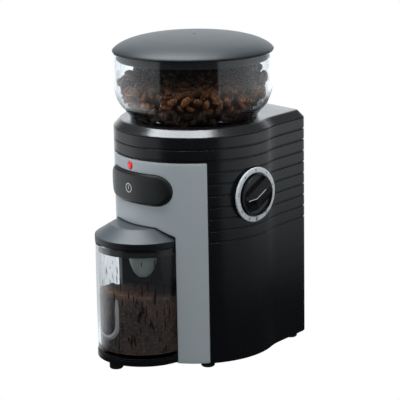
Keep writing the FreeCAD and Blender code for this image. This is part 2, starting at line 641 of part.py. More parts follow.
def make_lid():
    t = LID_WALL
    shares = ((1.0, 0.03), (0.985, 0.13), (0.94, 0.30), (0.86, 0.50), (0.76, 0.66), (0.64, 0.79),
              (0.5, 0.88), (0.3, 0.96), (0.0, 1.0))
    outer = [(LID_R * a, LID_Z + LID_HEIGHT * b) for a, b in shares]
    inner = [((LID_R - t) * a, LID_Z + (LID_HEIGHT - t) * b) for a, b in shares]
    dome = smooth_turn(outer, inner)
    rim = turn([(LID_R, outer[0][1]), (LID_R, LID_Z), (PLUG_R - PLUG_WALL, LID_Z), (PLUG_R - PLUG_WALL, LID_Z + 3.4),
                (inner[0][0], inner[0][1])])
    plug = tube(PLUG_R, PLUG_R - PLUG_WALL, LID_Z - PLUG_DEPTH, LID_Z + 3.2)
    vent = cyl(0.9, LID_Z, LID_Z + 30, 6.0, -3.0)
    return join([dome, rim, plug]).cut(vent)


def make_chamber():
    z0, z1 = CHAMBER_Z
    cup = turn([(BUSH_R, z0), (CHAMBER_OUT, z0), (CHAMBER_OUT, z1 - CHAMBER_FLANGE_T),
                (COVER_POST_PLACE, z1 - CHAMBER_FLANGE_T), (COVER_POST_PLACE, z1), (CHAMBER_R, z1),
                (CHAMBER_R, z0 + CHAMBER_FLOOR), (BUSH_R, z0 + CHAMBER_FLOOR)])
    ears = []
    for angle in POST_ANGLES:
        x = COVER_POST_PLACE * cos(radians(angle))
        y = COVER_POST_PLACE * sin(radians(angle))
        ears.append(cyl(COVER_POST_R, z1 - CHAMBER_FLANGE_T, z1, x, y))
    trim = body_prism(WALL + 1.5, z0 - 5, z1 + 5)
    ribs = []
    for side in (-1, 1):
        for y in (3.2, -5.2):
            x0, x1 = sorted((side * (CHAMBER_R - 2.6), side * (CHAMBER_R + 1)))
            ribs.append(box(x0, x1, y, y + 2, z0 + 12, SKIRT_Z - 0.6))
    cup = join([cup] + ears + ribs).common(trim)
    window = box(-CHUTE_X + CHUTE_WALL, CHUTE_X - CHUTE_WALL, -CHAMBER_OUT - 2, CHUTE_HEAD + 6, z0 + CHAMBER_FLOOR,
                 CHUTE_TOP - 2.2)
    screws = [cyl(SCREW_R, z0 - 2, z0 + 2.2, x, y) for x, y in GEARBOX_SCREW_PLACES]
    return cup.cut([window] + [screw_hole(a) for a in POST_ANGLES] + screws)


def rect_at(x, y0, y1, z):
    return Part.makePolygon([V(-x, y0, z), V(x, y0, z), V(x, y1, z), V(-x, y1, z), V(-x, y0, z)])


def make_chute():
    w = CHUTE_WALL
    x = CHUTE_X
    outer = Part.makeLoft([rect_at(x, CHUTE_FRONT, CHUTE_REAR, BAY_ROOF), rect_at(x, CHUTE_FRONT + 3.5, CHUTE_HEAD, CHUTE_TOP)],
                          True, True)
    inner = Part.makeLoft([rect_at(x - w, CHUTE_FRONT + w, CHUTE_REAR - w, BAY_ROOF - 1),
                           rect_at(x - w, CHUTE_FRONT + 3.5 + w, CHUTE_HEAD - w, CHUTE_TOP - 1.6)], True, True)
    window = box(-x + w, x - w, CHUTE_HEAD - 10, CHUTE_HEAD + 6, CHAMBER_Z[0] + CHAMBER_FLOOR, CHUTE_TOP - 2.2)
    return outer.cut([inner, window, cyl(CHAMBER_OUT, CHUTE_TOP - 90, CHUTE_TOP + 9)])


def make_shaft():
    return cyl(SHAFT_R, GEARBOX_Z[0] + 1.0, CONE_Z[1])


def make_cone_burr():
    z0, z1 = CONE_Z
    cone = turn([(SHAFT_R, z0), (CONE_R[0], z0), (CONE_R[0], z0 + 1.5), (CONE_R[1], z1), (SHAFT_R, z1)])
    cuts = []
    for k in range(CONE_SLOTS):
        slot = box(CONE_R[1] - 1.2, CONE_R[0] + 3, -0.9, 0.9, 0, z1 - z0 - 2)
        slot.rotate(V(0, 0, 0), V(0, 1, 0), -degrees(acos(0.92)))
        slot.rotate(V(0, 0, 0), V(1, 0, 0), 14)
        slot.translate(V(2.0, 0, z0 + 4.0))
        slot.rotate(V(0, 0, 0), V(0, 0, 1), k * 360.0 / CONE_SLOTS)
        cuts.append(slot)
    return cone.cut(cuts)


def make_burr_bolt():
    head = cyl(6.0, CONE_Z[1], CONE_Z[1] + 2.8)
    return head.cut(cyl(2.0, CONE_Z[1] + 1, CONE_Z[1] + 4))


def make_ring_burr():
    z0, z1 = RING_Z
    low, middle, high = RING_BORE
    ring = turn([(low, z0), (RING_BURR_R, z0), (RING_BURR_R, z1), (high, z1), (middle, z0 + 15)])
    cuts = []
    for k in range(RING_SLOTS):
        slot = box(middle - 1, low + 1.3, -0.5, 0.5, z0 - 1, z1 + 1)
        slot.rotate(V(0, 0, z0), V(1, 0, 0), -6)
        slot.rotate(V(0, 0, 0), V(0, 0, 1), k * 360.0 / RING_SLOTS)
        cuts.append(slot)
    return ring.cut(cuts)


def make_carrier():
    lugs = []
    for side in (-1, 1):
        x0, x1 = sorted((side * (CARRIER_R - 1), side * (CHAMBER_R - 1.2)))
        lugs.append(box(x0, x1, -2.8, 2.8, RING_Z[0] - 0.8, RING_Z[0] + 4.8))
    body = turn([(RING_BURR_R, RING_Z[0] - 0.8), (CARRIER_R, RING_Z[0] - 0.8), (CARRIER_R, CARRIER_TOP),
                 (RING_BORE[2] + 1.0, CARRIER_TOP), (RING_BORE[2] + 1.0, RING_Z[1]), (RING_BURR_R, RING_Z[1])])
    return join([body] + lugs)


def make_burr_screws():
    screws = []
    for k in range(3):
        a = radians(90 + 120 * k)
        r = (RING_BORE[2] + 1.0 + RING_BURR_R) / 2
        screws.append(cyl(1.6, CARRIER_TOP, CARRIER_TOP + 0.9, r * cos(a), r * sin(a)))
    return Part.makeCompound(screws)


def make_adjuster():
    f0, f1 = ADJUST_FLANGE_Z
    out = SKIRT_BORE + SKIRT_WALL
    return turn([(SKIRT_BORE, SKIRT_Z), (out, SKIRT_Z), (out, f0), (ADJUST_FLANGE_R, f0), (ADJUST_FLANGE_R, f1),
                 (ADJUST_R, f1), (ADJUST_R, ADJUST_TOP), (ADJUST_R - 8, ADJUST_TOP), (SKIRT_BORE, f0 - 0.2)])


def make_impeller():
    z0, z1 = IMPELLER_Z
    vanes = []
    for k in range(4):
        vane = box(9, IMPELLER_R - 0.5, -1, 1, z1 - 0.1, VANE_TOP)
        vane.rotate(V(0, 0, 0), V(0, 0, 1), 45 + 90 * k)
        vanes.append(vane)
    hub = tube(9.5, SHAFT_R, z0, CONE_Z[0])
    return join([tube(IMPELLER_R, SHAFT_R, z0, z1), hub] + vanes)


def gearbox_block(grow, z0, z1):
    tip = MODULE * 2
    parts = [cyl(MODULE * OUTPUT_TEETH / 2 + tip + grow, z0, z1),
             cyl(MODULE * IDLER_TEETH / 2 + tip + grow, z0, z1, IDLER_X, IDLER_Y)]
    return join(parts)


def make_gearbox_half(lower):
    z0, z1 = (GEARBOX_Z[0], GEARBOX_SPLIT) if lower else (GEARBOX_SPLIT, GEARBOX_Z[1])
    block = gearbox_block(GEARBOX_WALL, z0, z1)
    if lower:
        hollow = gearbox_block(0, z0 + GEARBOX_FLOOR, z1 + 1)
        bores = [cyl(BUSH_R, z0 - 1, z1), cyl(4, z0 - 1, z0 + 5, 0, MOTOR_Y)]
    else:
        hollow = gearbox_block(0, z0 - 1, z1 - GEARBOX_FLOOR)
        bores = [cyl(BUSH_R, z1 - 9, z1 + 1)]
    half = block.cut([hollow] + bores)
    ears = []
    for x, y in GEARBOX_SCREW_PLACES:
        ears.append(cyl(SCREW_R + 1.8, z0, z1, x, y).cut(gearbox_block(0, z0 - 1, z1 + 1)))
    half = join([half] + ears)
    return half.cut([cyl(SCREW_R, z0 - 1, z1 + 1, x, y) for x, y in GEARBOX_SCREW_PLACES])


def make_motor():
    top = GEARBOX_Z[0]
    can = turn([(0, top - MOTOR_LENGTH), (MOTOR_R - 2, top - MOTOR_LENGTH), (MOTOR_R, top - MOTOR_LENGTH + 2),
                (MOTOR_R, top), (0, top)], 0, MOTOR_Y)
    bore = cyl(MOTOR_SHAFT_R + 0.4, top - MOTOR_LENGTH + 12, top + 1, 0, MOTOR_Y)
    return can.cut(bore)


spindle = {
    "main_shaft": make_shaft(),
    "cone_burr": make_cone_burr(),
    "burr_bolt": make_burr_bolt(),
    "impeller": make_impeller(),
}
to_idler = bearing_angle((0, 0), (IDLER_X, IDLER_Y))
output = gear(OUTPUT_TEETH, 0, 0, UPPER_GEAR_Z[0], UPPER_GEAR_Z[1], to_idler)
pinion_phase = to_idler + 180 + 180.0 / IDLER_PINION_TEETH
idler_pinion = gear(IDLER_PINION_TEETH, IDLER_X, IDLER_Y, LOWER_GEAR_Z[1], UPPER_GEAR_Z[1] + 0.6, pinion_phase)
to_motor = bearing_angle((IDLER_X, IDLER_Y), (0, MOTOR_Y))
idler_wheel = gear(IDLER_TEETH, IDLER_X, IDLER_Y, LOWER_GEAR_Z[0], LOWER_GEAR_Z[1], to_motor)
motor_phase = to_motor + 180 + 180.0 / MOTOR_TEETH
motor_pinion = gear(MOTOR_TEETH, 0, MOTOR_Y, LOWER_GEAR_Z[0] - 0.6, LOWER_GEAR_Z[1] + 0.6, motor_phase)
idler_bore = cyl(2.0 + RUN_FIT, GEARBOX_Z[0], GEARBOX_Z[1], IDLER_X, IDLER_Y)
spindle["output_gear"] = output.cut(cyl(SHAFT_R, GEARBOX_Z[0], GEARBOX_Z[1]))

nodes.update(spindle)
nodes["idler_gear"] = idler_wheel.cut(idler_bore)
nodes["idler_pinion"] = idler_pinion.cut(idler_bore)
nodes["idler_axle"] = cyl(2.0, GEARBOX_Z[0] + GEARBOX_FLOOR, GEARBOX_Z[1] - GEARBOX_FLOOR, IDLER_X, IDLER_Y)
nodes["motor_pinion"] = motor_pinion.cut(cyl(MOTOR_SHAFT_R, GEARBOX_Z[0], GEARBOX_Z[1], 0, MOTOR_Y))
nodes["motor_shaft"] = cyl(MOTOR_SHAFT_R, GEARBOX_Z[0] - MOTOR_LENGTH + 12.4, LOWER_GEAR_Z[1] + 0.6, 0, MOTOR_Y)
nodes["motor"] = make_motor()
nodes["motor_end_cap"] = turn([(0, GEARBOX_Z[0] - MOTOR_LENGTH - 3), (9, GEARBOX_Z[0] - MOTOR_LENGTH - 3),
                               (12, GEARBOX_Z[0] - MOTOR_LENGTH), (0, GEARBOX_Z[0] - MOTOR_LENGTH)], 0, MOTOR_Y)
nodes["gearbox_lower"] = make_gearbox_half(True)
nodes["gearbox_upper"] = make_gearbox_half(False)
nodes["gearbox_screws"] = Part.makeCompound([screw(x, y, GEARBOX_Z[0], 28.0, 1) for x, y in GEARBOX_SCREW_PLACES])
bush = tube(BUSH_R, SHAFT_R + RUN_FIT, GEARBOX_Z[0], GEARBOX_Z[0] + 5.4)
nodes["lower_bush"] = bush
nodes["upper_bush"] = tube(BUSH_R, SHAFT_R + RUN_FIT, GEARBOX_Z[1] - 4.4, CHAMBER_Z[0] + CHAMBER_FLOOR)
nodes["ring_burr"] = make_ring_burr()
nodes["burr_carrier"] = make_carrier()
nodes["burr_screws"] = make_burr_screws()
nodes["adjust_ring"] = make_adjuster()
nodes["hopper_seal"] = tube(ADJUST_R - 1.5, ADJUST_R - 7, ADJUST_TOP, ADJUST_TOP + SEAL_T)
nodes["grind_chamber"] = make_chamber()
nodes["grounds_chute"] = make_chute()
nodes["chamber_screws"] = Part.makeCompound(
    [screw(COVER_POST_PLACE * cos(radians(a)), COVER_POST_PLACE * sin(radians(a)),
           CHAMBER_Z[1] - CHAMBER_FLANGE_T, 5.6, 1) for a in POST_ANGLES])
nodes["main_housing"] = join([make_housing()] + make_base_bosses())
nodes["top_cover"] = make_cover()
nodes["front_panel"] = make_panel()
nodes["base_plate"] = make_base()
nodes["base_screws"] = Part.makeCompound([screw(x, y, BODY_BOTTOM, 14.0, 1) for x, y in BASE_SCREWS])
nodes["rubber_feet"] = make_feet()
nodes["bin_bay"] = make_bay()
nodes["hopper_bowl"] = make_bowl()
nodes["hopper_lid"] = make_lid()
nodes["lid_gasket"] = tube(PLUG_R + 1.5, PLUG_R, LID_Z - 5.2, LID_Z - 2.6)
nodes["bin_container"] = make_bin()
nodes["bin_cap"] = make_cap()
nodes["cap_funnel"] = make_funnel()
nodes["power_button"] = make_button()
nodes["button_springs"] = make_springs()
nodes["power_switch"] = box(ACTUATOR_X - 4, ACTUATOR_X + 4, BOARD_Y - 3.5, BOARD_Y, BUTTON_Z - 4, BUTTON_Z + 4)
nodes["circuit_board"] = make_board()
nodes["board_screws"] = make_board_screws()
nodes["indicator_lens"] = rod(LENS_R, (0, -BODY_R - 0.5, LED_Z), (0, -PANEL_IN + 0.6, LED_Z))
led_y = -PANEL_IN + 0.6
led = join([rod(2.2, (0, led_y, LED_Z), (0, led_y + 5, LED_Z)), rod(2.9, (0, led_y + 5, LED_Z), (0, BOARD_Y, LED_Z))])
nodes["indicator_led"] = led

ring = turn([(KNOB_R + KNOB_GAP + 0.9, BODY_R - 4.5), (DIAL_RING_R, BODY_R - 4.5), (DIAL_RING_R, DIAL_FACE - 1.2),
             (DIAL_RING_R - 1.2, DIAL_FACE), (KNOB_R + KNOB_GAP + 0.9, DIAL_FACE)])
ring = ring.fuse(tube(DIAL_RING_R - 1, TIMER_SHAFT_R + 4, BODY_R - 2.4, BODY_R - 0.8)).removeSplitter()
nodes["dial_ring"] = dialwise(ring).cut(body_prism(0, 0, 200))
timer = box(-TIMER_HALF_H, TIMER_HALF_H, -TIMER_HALF_W, TIMER_HALF_W, TIMER_BOX[0], TIMER_BOX[1])
neck = tube(TIMER_SHAFT_R + 2.6, TIMER_SHAFT_R + RUN_FIT, TIMER_BOX[1] - 1, BODY_R - 1.6)
timer = join([timer.cut(cyl(TIMER_SHAFT_R + RUN_FIT, BODY_R - 15, BODY_R - 5)), neck])
nodes["timer_module"] = dialwise(timer)
nodes["timer_nut"] = dialwise(tube(TIMER_SHAFT_R + 3.9, TIMER_SHAFT_R + 2.6, BODY_R - WALL - 3.4, BODY_R - WALL - 0.4))
nodes["timer_shaft"] = dialwise(cyl(TIMER_SHAFT_R, BODY_R - 14.6, KNOB_SKIRT + 3))
knob = turn([(TIMER_SHAFT_R, BODY_R + 0.6), (6.5, BODY_R + 0.6), (6.5, KNOB_SKIRT - 3), (KNOB_R, KNOB_SKIRT - 3),
             (KNOB_R, KNOB_SKIRT - 0.8), (KNOB_R - 0.8, KNOB_SKIRT), (TIMER_SHAFT_R, KNOB_SKIRT)])
grip = box(-KNOB_R + 0.6, KNOB_R - 0.6, -4.2, 4.2, KNOB_SKIRT - 1, KNOB_TOP)
grip = grip.common(turn([(0, BODY_R - 5), (KNOB_R - 0.4, BODY_R - 5), (KNOB_R - 0.4, KNOB_SKIRT), (KNOB_R - 3, KNOB_TOP), (0, KNOB_TOP)]))
grip = grip.cut(cyl(TIMER_SHAFT_R, BODY_R - 15, KNOB_SKIRT + 3))
pointer_groove = box(4.0, KNOB_R + 1, -0.9, 0.9, KNOB_TOP - 0.8, KNOB_TOP + 1)
knob = join([knob, grip]).cut(pointer_groove)
pointer = box(4.0, KNOB_R - 3.2, -0.9, 0.9, KNOB_TOP - 0.8, KNOB_TOP)
for name, shape in (("timer_knob", knob), ("knob_pointer", pointer)):
    shape.rotate(V(0, 0, 0), V(0, 0, 1), POINTER_ANGLE)
    nodes[name] = dialwise(shape)

plunger_y = BIN_BACK + PLAY
plunger = [rod(PLUNGER_R, (SWITCH_X, plunger_y, SWITCH_Z), (SWITCH_X, -9.5, SWITCH_Z)),
           rod(3.4, (SWITCH_X, -13.4, SWITCH_Z), (SWITCH_X, -11.8, SWITCH_Z))]
nodes["bin_switch_plunger"] = join(plunger)
switch_box = box(SWITCH_X - 6, SWITCH_X + 6, BAY_BACK + BAY_WALL, -3.6, SWITCH_Z - 8, SWITCH_Z + 8)
cavity = [rod(PLUNGER_R + 0.4, (SWITCH_X, -30, SWITCH_Z), (SWITCH_X, -5, SWITCH_Z)),
          rod(4.2, (SWITCH_X, -14.2, SWITCH_Z), (SWITCH_X, -6.2, SWITCH_Z))]
nodes["bin_switch"] = switch_box.cut(cavity)
nodes["bin_switch_spring"] = spring_sleeve(2.7, 0.3, (SWITCH_X, -11.6, SWITCH_Z), 5.2)
gland = [rod(GLAND_R - 1.5, (0, REAR_Y - WALL, CORD_HOLE_Z), (0, REAR_Y, CORD_HOLE_Z)),
         rod(GLAND_R, (0, REAR_Y, CORD_HOLE_Z), (0, REAR_Y + 0.8, CORD_HOLE_Z)),
         rod(GLAND_R, (0, REAR_Y - WALL - 4, CORD_HOLE_Z), (0, REAR_Y - WALL, CORD_HOLE_Z))]
nodes["cord_gland"] = join(gland).cut(rod(3.2, (0, REAR_Y - 12, CORD_HOLE_Z), (0, REAR_Y + 3, CORD_HOLE_Z)))

# the origin is the centre of the footprint's box, on the table
ORIGIN_X = (KNOB_TOP * cos(radians(DIAL_ANGLE)) + (KNOB_R - 3) * sin(radians(DIAL_ANGLE)) - BODY_R) / 2
ORIGIN_Y = (REAR_Y + 0.8 + BIN_Y - TRAY_R) / 2

os.makedirs("parts", exist_ok=True)
for name, shape in nodes.items():
    placed = shape.copy()
    placed.translate(V(-ORIGIN_X, -ORIGIN_Y, 0))
    placed.exportStep(f"parts/{name}.step")
    bounds = placed.BoundBox
    print(name, len(placed.Solids), placed.isValid(), round(placed.Volume), [round(v, 1) for v in (
        bounds.XMin, bounds.XMax, bounds.YMin, bounds.YMax, bounds.ZMin, bounds.ZMax)])
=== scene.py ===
import json
import math

import bmesh
import bpy
import numpy as np
from mathutils import Matrix, Vector
from mathutils.geometry import delaunay_2d_cdt


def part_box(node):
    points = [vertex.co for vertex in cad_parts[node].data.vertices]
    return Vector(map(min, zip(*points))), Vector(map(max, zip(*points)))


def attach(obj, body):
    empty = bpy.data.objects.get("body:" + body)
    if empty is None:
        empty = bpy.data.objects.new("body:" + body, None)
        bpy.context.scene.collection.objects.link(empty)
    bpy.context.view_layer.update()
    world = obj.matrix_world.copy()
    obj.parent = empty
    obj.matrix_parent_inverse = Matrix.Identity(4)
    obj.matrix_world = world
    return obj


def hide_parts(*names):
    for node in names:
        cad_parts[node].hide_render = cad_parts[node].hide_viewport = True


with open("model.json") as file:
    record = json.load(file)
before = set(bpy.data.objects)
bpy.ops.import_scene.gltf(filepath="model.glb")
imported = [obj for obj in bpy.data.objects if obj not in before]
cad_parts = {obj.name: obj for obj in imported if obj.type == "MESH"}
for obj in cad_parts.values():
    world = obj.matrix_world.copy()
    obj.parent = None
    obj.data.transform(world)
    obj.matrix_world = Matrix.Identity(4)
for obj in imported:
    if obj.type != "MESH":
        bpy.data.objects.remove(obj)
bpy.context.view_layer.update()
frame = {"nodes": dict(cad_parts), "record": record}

shaft_lo, shaft_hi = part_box("main_shaft")
AXIS = np.array([(shaft_lo[0] + shaft_hi[0]) / 2, (shaft_lo[1] + shaft_hi[1]) / 2, 0.0])
BODY_R = 65.0
rng = np.random.default_rng(11)


# ---------------------------------------------------------------- materials
# Every surface is built from nodes on Object coordinates: a colour that drifts
# a little, a roughness that drifts with it, and a fine moulded grain as bump.
def node(tree, kind, **sockets):
    """Adds one shader node and sets its plain socket values."""
    made = tree.nodes.new(kind)
    for name, value in sockets.items():
        made.inputs[name.replace("_", " ")].default_value = value
    return made


def noise(tree, coord, scale, detail=3.0, stretch=(1, 1, 1)):
    """Noise on Object coordinates; `scale` is in cells per metre, stretched per axis."""
    mapping = node(tree, "ShaderNodeMapping", Scale=stretch)
    made = node(tree, "ShaderNodeTexNoise", Scale=scale, Detail=detail)
    tree.links.new(coord, mapping.inputs[0])
    tree.links.new(mapping.outputs[0], made.inputs["Vector"])
    return made.outputs[0]


def ranged(tree, source, low, high, a=0.3, b=0.7):
    """Maps a noise value between a and b to the range low..high."""
    made = tree.nodes.new("ShaderNodeMapRange")
    for i, value in enumerate((a, b, low, high)):
        made.inputs[i + 1].default_value = value
    tree.links.new(source, made.inputs[0])
    return made.outputs[0]


def towards(tree, source, before, colour):
    """Mixes `before`, a colour socket or a plain colour, with a plain colour by a value socket."""
    made = tree.nodes.new("ShaderNodeMix")
    made.data_type = "RGBA"
    made.inputs[7].default_value = (*colour, 1)
    tree.links.new(source, made.inputs[0])
    if isinstance(before, bpy.types.NodeSocket):
        tree.links.new(before, made.inputs[6])
    else:
        made.inputs[6].default_value = (*before, 1)
    return made.outputs[2]


def object_place(tree):
    """The Object coordinate socket."""
    return tree.nodes.new("ShaderNodeTexCoord").outputs["Object"]


def maths(tree, kind, operation, *sources):
    """Adds a Math or VectorMath node; each source is a socket to link or a value to set."""
    made = tree.nodes.new("ShaderNode" + kind)
    made.operation = operation
    for socket, source in zip(made.inputs, sources):
        if isinstance(source, bpy.types.NodeSocket):
            tree.links.new(source, socket)
        else:
            socket.default_value = source
    scalar = kind == "Math" or operation in ("DOT_PRODUCT", "LENGTH")
    return made.outputs["Value" if scalar else "Vector"]


def height_of(tree, coord):
    """The Z part of a coordinate socket."""
    parts = tree.nodes.new("ShaderNodeSeparateXYZ")
    tree.links.new(coord, parts.inputs[0])
    return parts.outputs["Z"]


def surface(name, colour, rough, grain=1500.0, bump=0.06, drift=0.12, spread=0.06, blotch=45.0, **more):
    """A plain moulded or metal surface; `more` holds values for the shader's own sockets."""
    made = bpy.data.materials.new(name)
    made.use_nodes = True
    tree = made.node_tree
    shader = tree.nodes["Principled BSDF"]
    coord = object_place(tree)
    soft = noise(tree, coord, blotch)
    fine = noise(tree, coord, grain, 2.0)
    dark = [c * (1 - drift) for c in colour]
    light = [min(1.0, c * (1 + drift)) for c in colour]
    tree.links.new(towards(tree, soft, dark, light), shader.inputs["Base Color"])
    tree.links.new(ranged(tree, fine, max(0.0, rough - spread), rough + spread), shader.inputs["Roughness"])
    relief = node(tree, "ShaderNodeBump", Strength=bump, Distance=0.0002)
    tree.links.new(fine, relief.inputs["Height"])
    tree.links.new(relief.outputs[0], shader.inputs["Normal"])
    for socket, value in more.items():
        shader.inputs[socket.replace("_", " ")].default_value = value
    return made


def clear(name, tint, rough, density):
    """Clear plastic: glass that lets light through for shadow and diffuse rays, with faint flow marks."""
    made = surface(name, tint, rough, 600.0, 0.012, 0.03, 0.015, 25.0, Transmission_Weight=1.0, IOR=1.45)
    tree = made.node_tree
    path = tree.nodes.new("ShaderNodeLightPath")
    through = node(tree, "ShaderNodeBsdfTransparent", Color=(density, density, density, 1))
    either = maths(tree, "Math", "MAXIMUM", path.outputs["Is Shadow Ray"], path.outputs["Is Diffuse Ray"])
    mix = tree.nodes.new("ShaderNodeMixShader")
    for socket, source in zip(mix.inputs, (either, tree.nodes["Principled BSDF"].outputs[0], through.outputs[0])):
        tree.links.new(source, socket)
    tree.links.new(mix.outputs[0], tree.nodes["Material Output"].inputs["Surface"])
    return made


def speckled(name, first, second, third, scale, rough, bump):
    """Roasted coffee: two browns by a broad noise and dark or pale specks by a fine one."""
    made = surface(name, first, rough, scale, bump)
    tree = made.node_tree
    coord = object_place(tree)
    broad = ranged(tree, noise(tree, coord, scale * 0.16), 0, 1, 0.38, 0.62)
    fine = ranged(tree, noise(tree, coord, scale), 0, 1, 0.5, 0.72)
    browns = towards(tree, broad, first, second)
    tree.links.new(towards(tree, fine, browns, third), tree.nodes["Principled BSDF"].inputs["Base Color"])
    tree.nodes["Bump"].inputs["Distance"].default_value = 0.0006
    return made


def dusty(name, colour, haze, low, high):
    """A film of fine coffee on the wall: a thin grey haze and dark upright dashes, sparser with height."""
    made = surface(name, colour, 0.8, 900.0, 0.2)
    tree = made.node_tree
    shader = tree.nodes["Principled BSDF"]
    coord = object_place(tree)
    dashes = noise(tree, coord, 560.0, 1.0, (1, 1, 0.16))
    lift = ranged(tree, height_of(tree, coord), 0.0, 0.13, low, high)
    left = maths(tree, "Math", "SUBTRACT", dashes, lift)
    tree.links.new(ranged(tree, left, 0.17, 0.9, 0.59, 0.64), shader.inputs["Alpha"])
    dark = ranged(tree, left, 0, 1, 0.59, 0.60)
    tree.links.new(towards(tree, dark, haze, colour), shader.inputs["Base Color"])
    return made


def paint_light_and_shade_by_height(name, colour, most, low, high):
    """Paints light and shade into a finish by height: blends it towards a colour, from none at height `low` to `most`
    at height `high`.
    """
    tree = MATERIALS[name].node_tree
    target = tree.nodes["Principled BSDF"].inputs["Base Color"]
    coord = object_place(tree)
    share = ranged(tree, height_of(tree, coord), 0.0, most, low, high)
    tree.links.new(towards(tree, share, target.links[0].from_socket, colour), target)


MATERIALS = {
    "dust": dusty("dust", (0.012, 0.008, 0.006), (0.16, 0.165, 0.175), 0.06, 0.1),
    "body_black": surface("body_black", (0.007, 0.0072, 0.008), 0.24, bump=0.04, Specular_IOR_Level=0.5),
    "cover_black": surface("cover_black", (0.014, 0.014, 0.015), 0.2, bump=0.04, Specular_IOR_Level=0.75),
    "panel_silver": surface("panel_silver", (0.50, 0.535, 0.56), 0.36, 2600.0, 0.05, 0.03, 0.05, 30.0, Metallic=0.15),
    "button_charcoal": surface("button_charcoal", (0.010, 0.0105, 0.012), 0.34, 2400.0, 0.08),
    "lid_slate": surface("lid_slate", (0.017, 0.021, 0.025), 0.46, bump=0.04, Specular_IOR_Level=0.42),
    "cap_slate": surface("cap_slate", (0.045, 0.054, 0.062), 0.44, bump=0.04),
    "cap_band": surface("cap_band", (0.008, 0.008, 0.009), 0.34, bump=0.04),
    "funnel_grey": surface("funnel_grey", (0.78, 0.80, 0.70), 0.45, 500.0, 0.05, Subsurface_Weight=0.3,
                           Transmission_Weight=0.12),
    "clear_plastic": clear("clear_plastic", (0.93, 0.94, 0.95), 0.0, 0.92),
    # Pale, partly opaque coat for the thumb grip: painted highlight on the raised bead.
    "bead_painted_highlight": surface("bead_painted_highlight", (0.9, 0.92, 0.94), 0.08, 600.0, 0.01, 0.02, 0.02, 25.0, Alpha=0.3,
                          Specular_IOR_Level=1.0),
    "ring_silver": surface("ring_silver", (0.74, 0.77, 0.80), 0.34, 2600.0, 0.04, 0.02, 0.05, 30.0, Metallic=0.1),
    "knob_black": surface("knob_black", (0.010, 0.010, 0.011), 0.26, bump=0.04),
    "mark_white": surface("mark_white", (0.85, 0.86, 0.86), 0.45, 900.0, 0.02),
    # Dark print for the dial's marks and numbers; also the vent's painted shade.
    "dark_print_and_shade": surface("dark_print_and_shade", (0.02, 0.02, 0.022), 0.5, 900.0, 0.02),
    "lens_red": surface("lens_red", (0.75, 0.012, 0.016), 0.15, 900.0, 0.01, Coat_Weight=0.6,
                        Emission_Color=(0.5, 0.0, 0.005, 1), Emission_Strength=0.5),
    "rubber_black": surface("rubber_black", (0.014, 0.014, 0.014), 0.62, 1800.0, 0.15),
    "steel": surface("steel", (0.55, 0.55, 0.56), 0.3, 1800.0, 0.06, 0.08, 0.08, 60.0, Metallic=1.0),
    "bronze": surface("bronze", (0.5, 0.32, 0.13), 0.38, 1800.0, 0.08, 0.1, 0.08, 60.0, Metallic=1.0),
    "white_plastic": surface("white_plastic", (0.72, 0.72, 0.69), 0.42),
    "board_green": surface("board_green", (0.02, 0.15, 0.06), 0.35, 700.0, 0.1),
    "inner_grey": surface("inner_grey", (0.07, 0.07, 0.075), 0.42),
    "bean": speckled("bean", (0.27, 0.105, 0.042), (0.04, 0.016, 0.008), (0.50, 0.21, 0.08), 560.0, 0.28, 0.3),
    # Near-black browns for the heap's hidden core: painted shade.
    "bean_core_shade": speckled("bean_core_shade", (0.008, 0.005, 0.004), (0.012, 0.007, 0.005), (0.02, 0.011, 0.007),
                          500.0, 0.5, 0.6),
    "grounds": speckled("grounds", (0.055, 0.027, 0.018), (0.020, 0.011, 0.009), (0.13, 0.075, 0.05), 520.0, 0.75, 1.0),
}
# Painted shade: the beans go to near black from 217 mm up, for the shade under the lid.
paint_light_and_shade_by_height("bean", (0.005, 0.0045, 0.0045), 0.85, 0.217, 0.227)
# Painted shade: the beans go to dark grey-brown from 213 mm down to 204 mm, for the shade low in the bowl.
paint_light_and_shade_by_height("bean", (0.016, 0.0125, 0.012), 0.85, 0.213, 0.204)
# Painted light: the grounds go to a brighter orange-brown from 60 mm up, for the light on their top.
paint_light_and_shade_by_height("grounds", (0.27, 0.11, 0.055), 0.8, 0.060, 0.067)
for entry in frame["record"]["subparts"]:
    shown = frame["nodes"][entry["node"]]
    shown.data.materials.clear()
    shown.data.materials.append(MATERIALS[entry["material_slot"]])


# ---------------------------------------------------------------- body wall
# The black shell from one edge of the silver panel round the back to the other,
# the closed band above the panel, and the nine grooves that run round both.
def grid_faces(rows, cols, wrap_rows=False, wrap_cols=False):
    """Quads between neighbouring rows and columns of a vertex grid."""
    i = np.arange(rows if wrap_rows else rows - 1)
    j = np.arange(cols if wrap_cols else cols - 1)
    i, j = np.meshgrid(i, j, indexing="ij")
    i2, j2 = (i + 1) % rows, (j + 1) % cols
    return np.stack([i * cols + j, i * cols + j2, i2 * cols + j2, i2 * cols + j], -1).reshape(-1, 4)


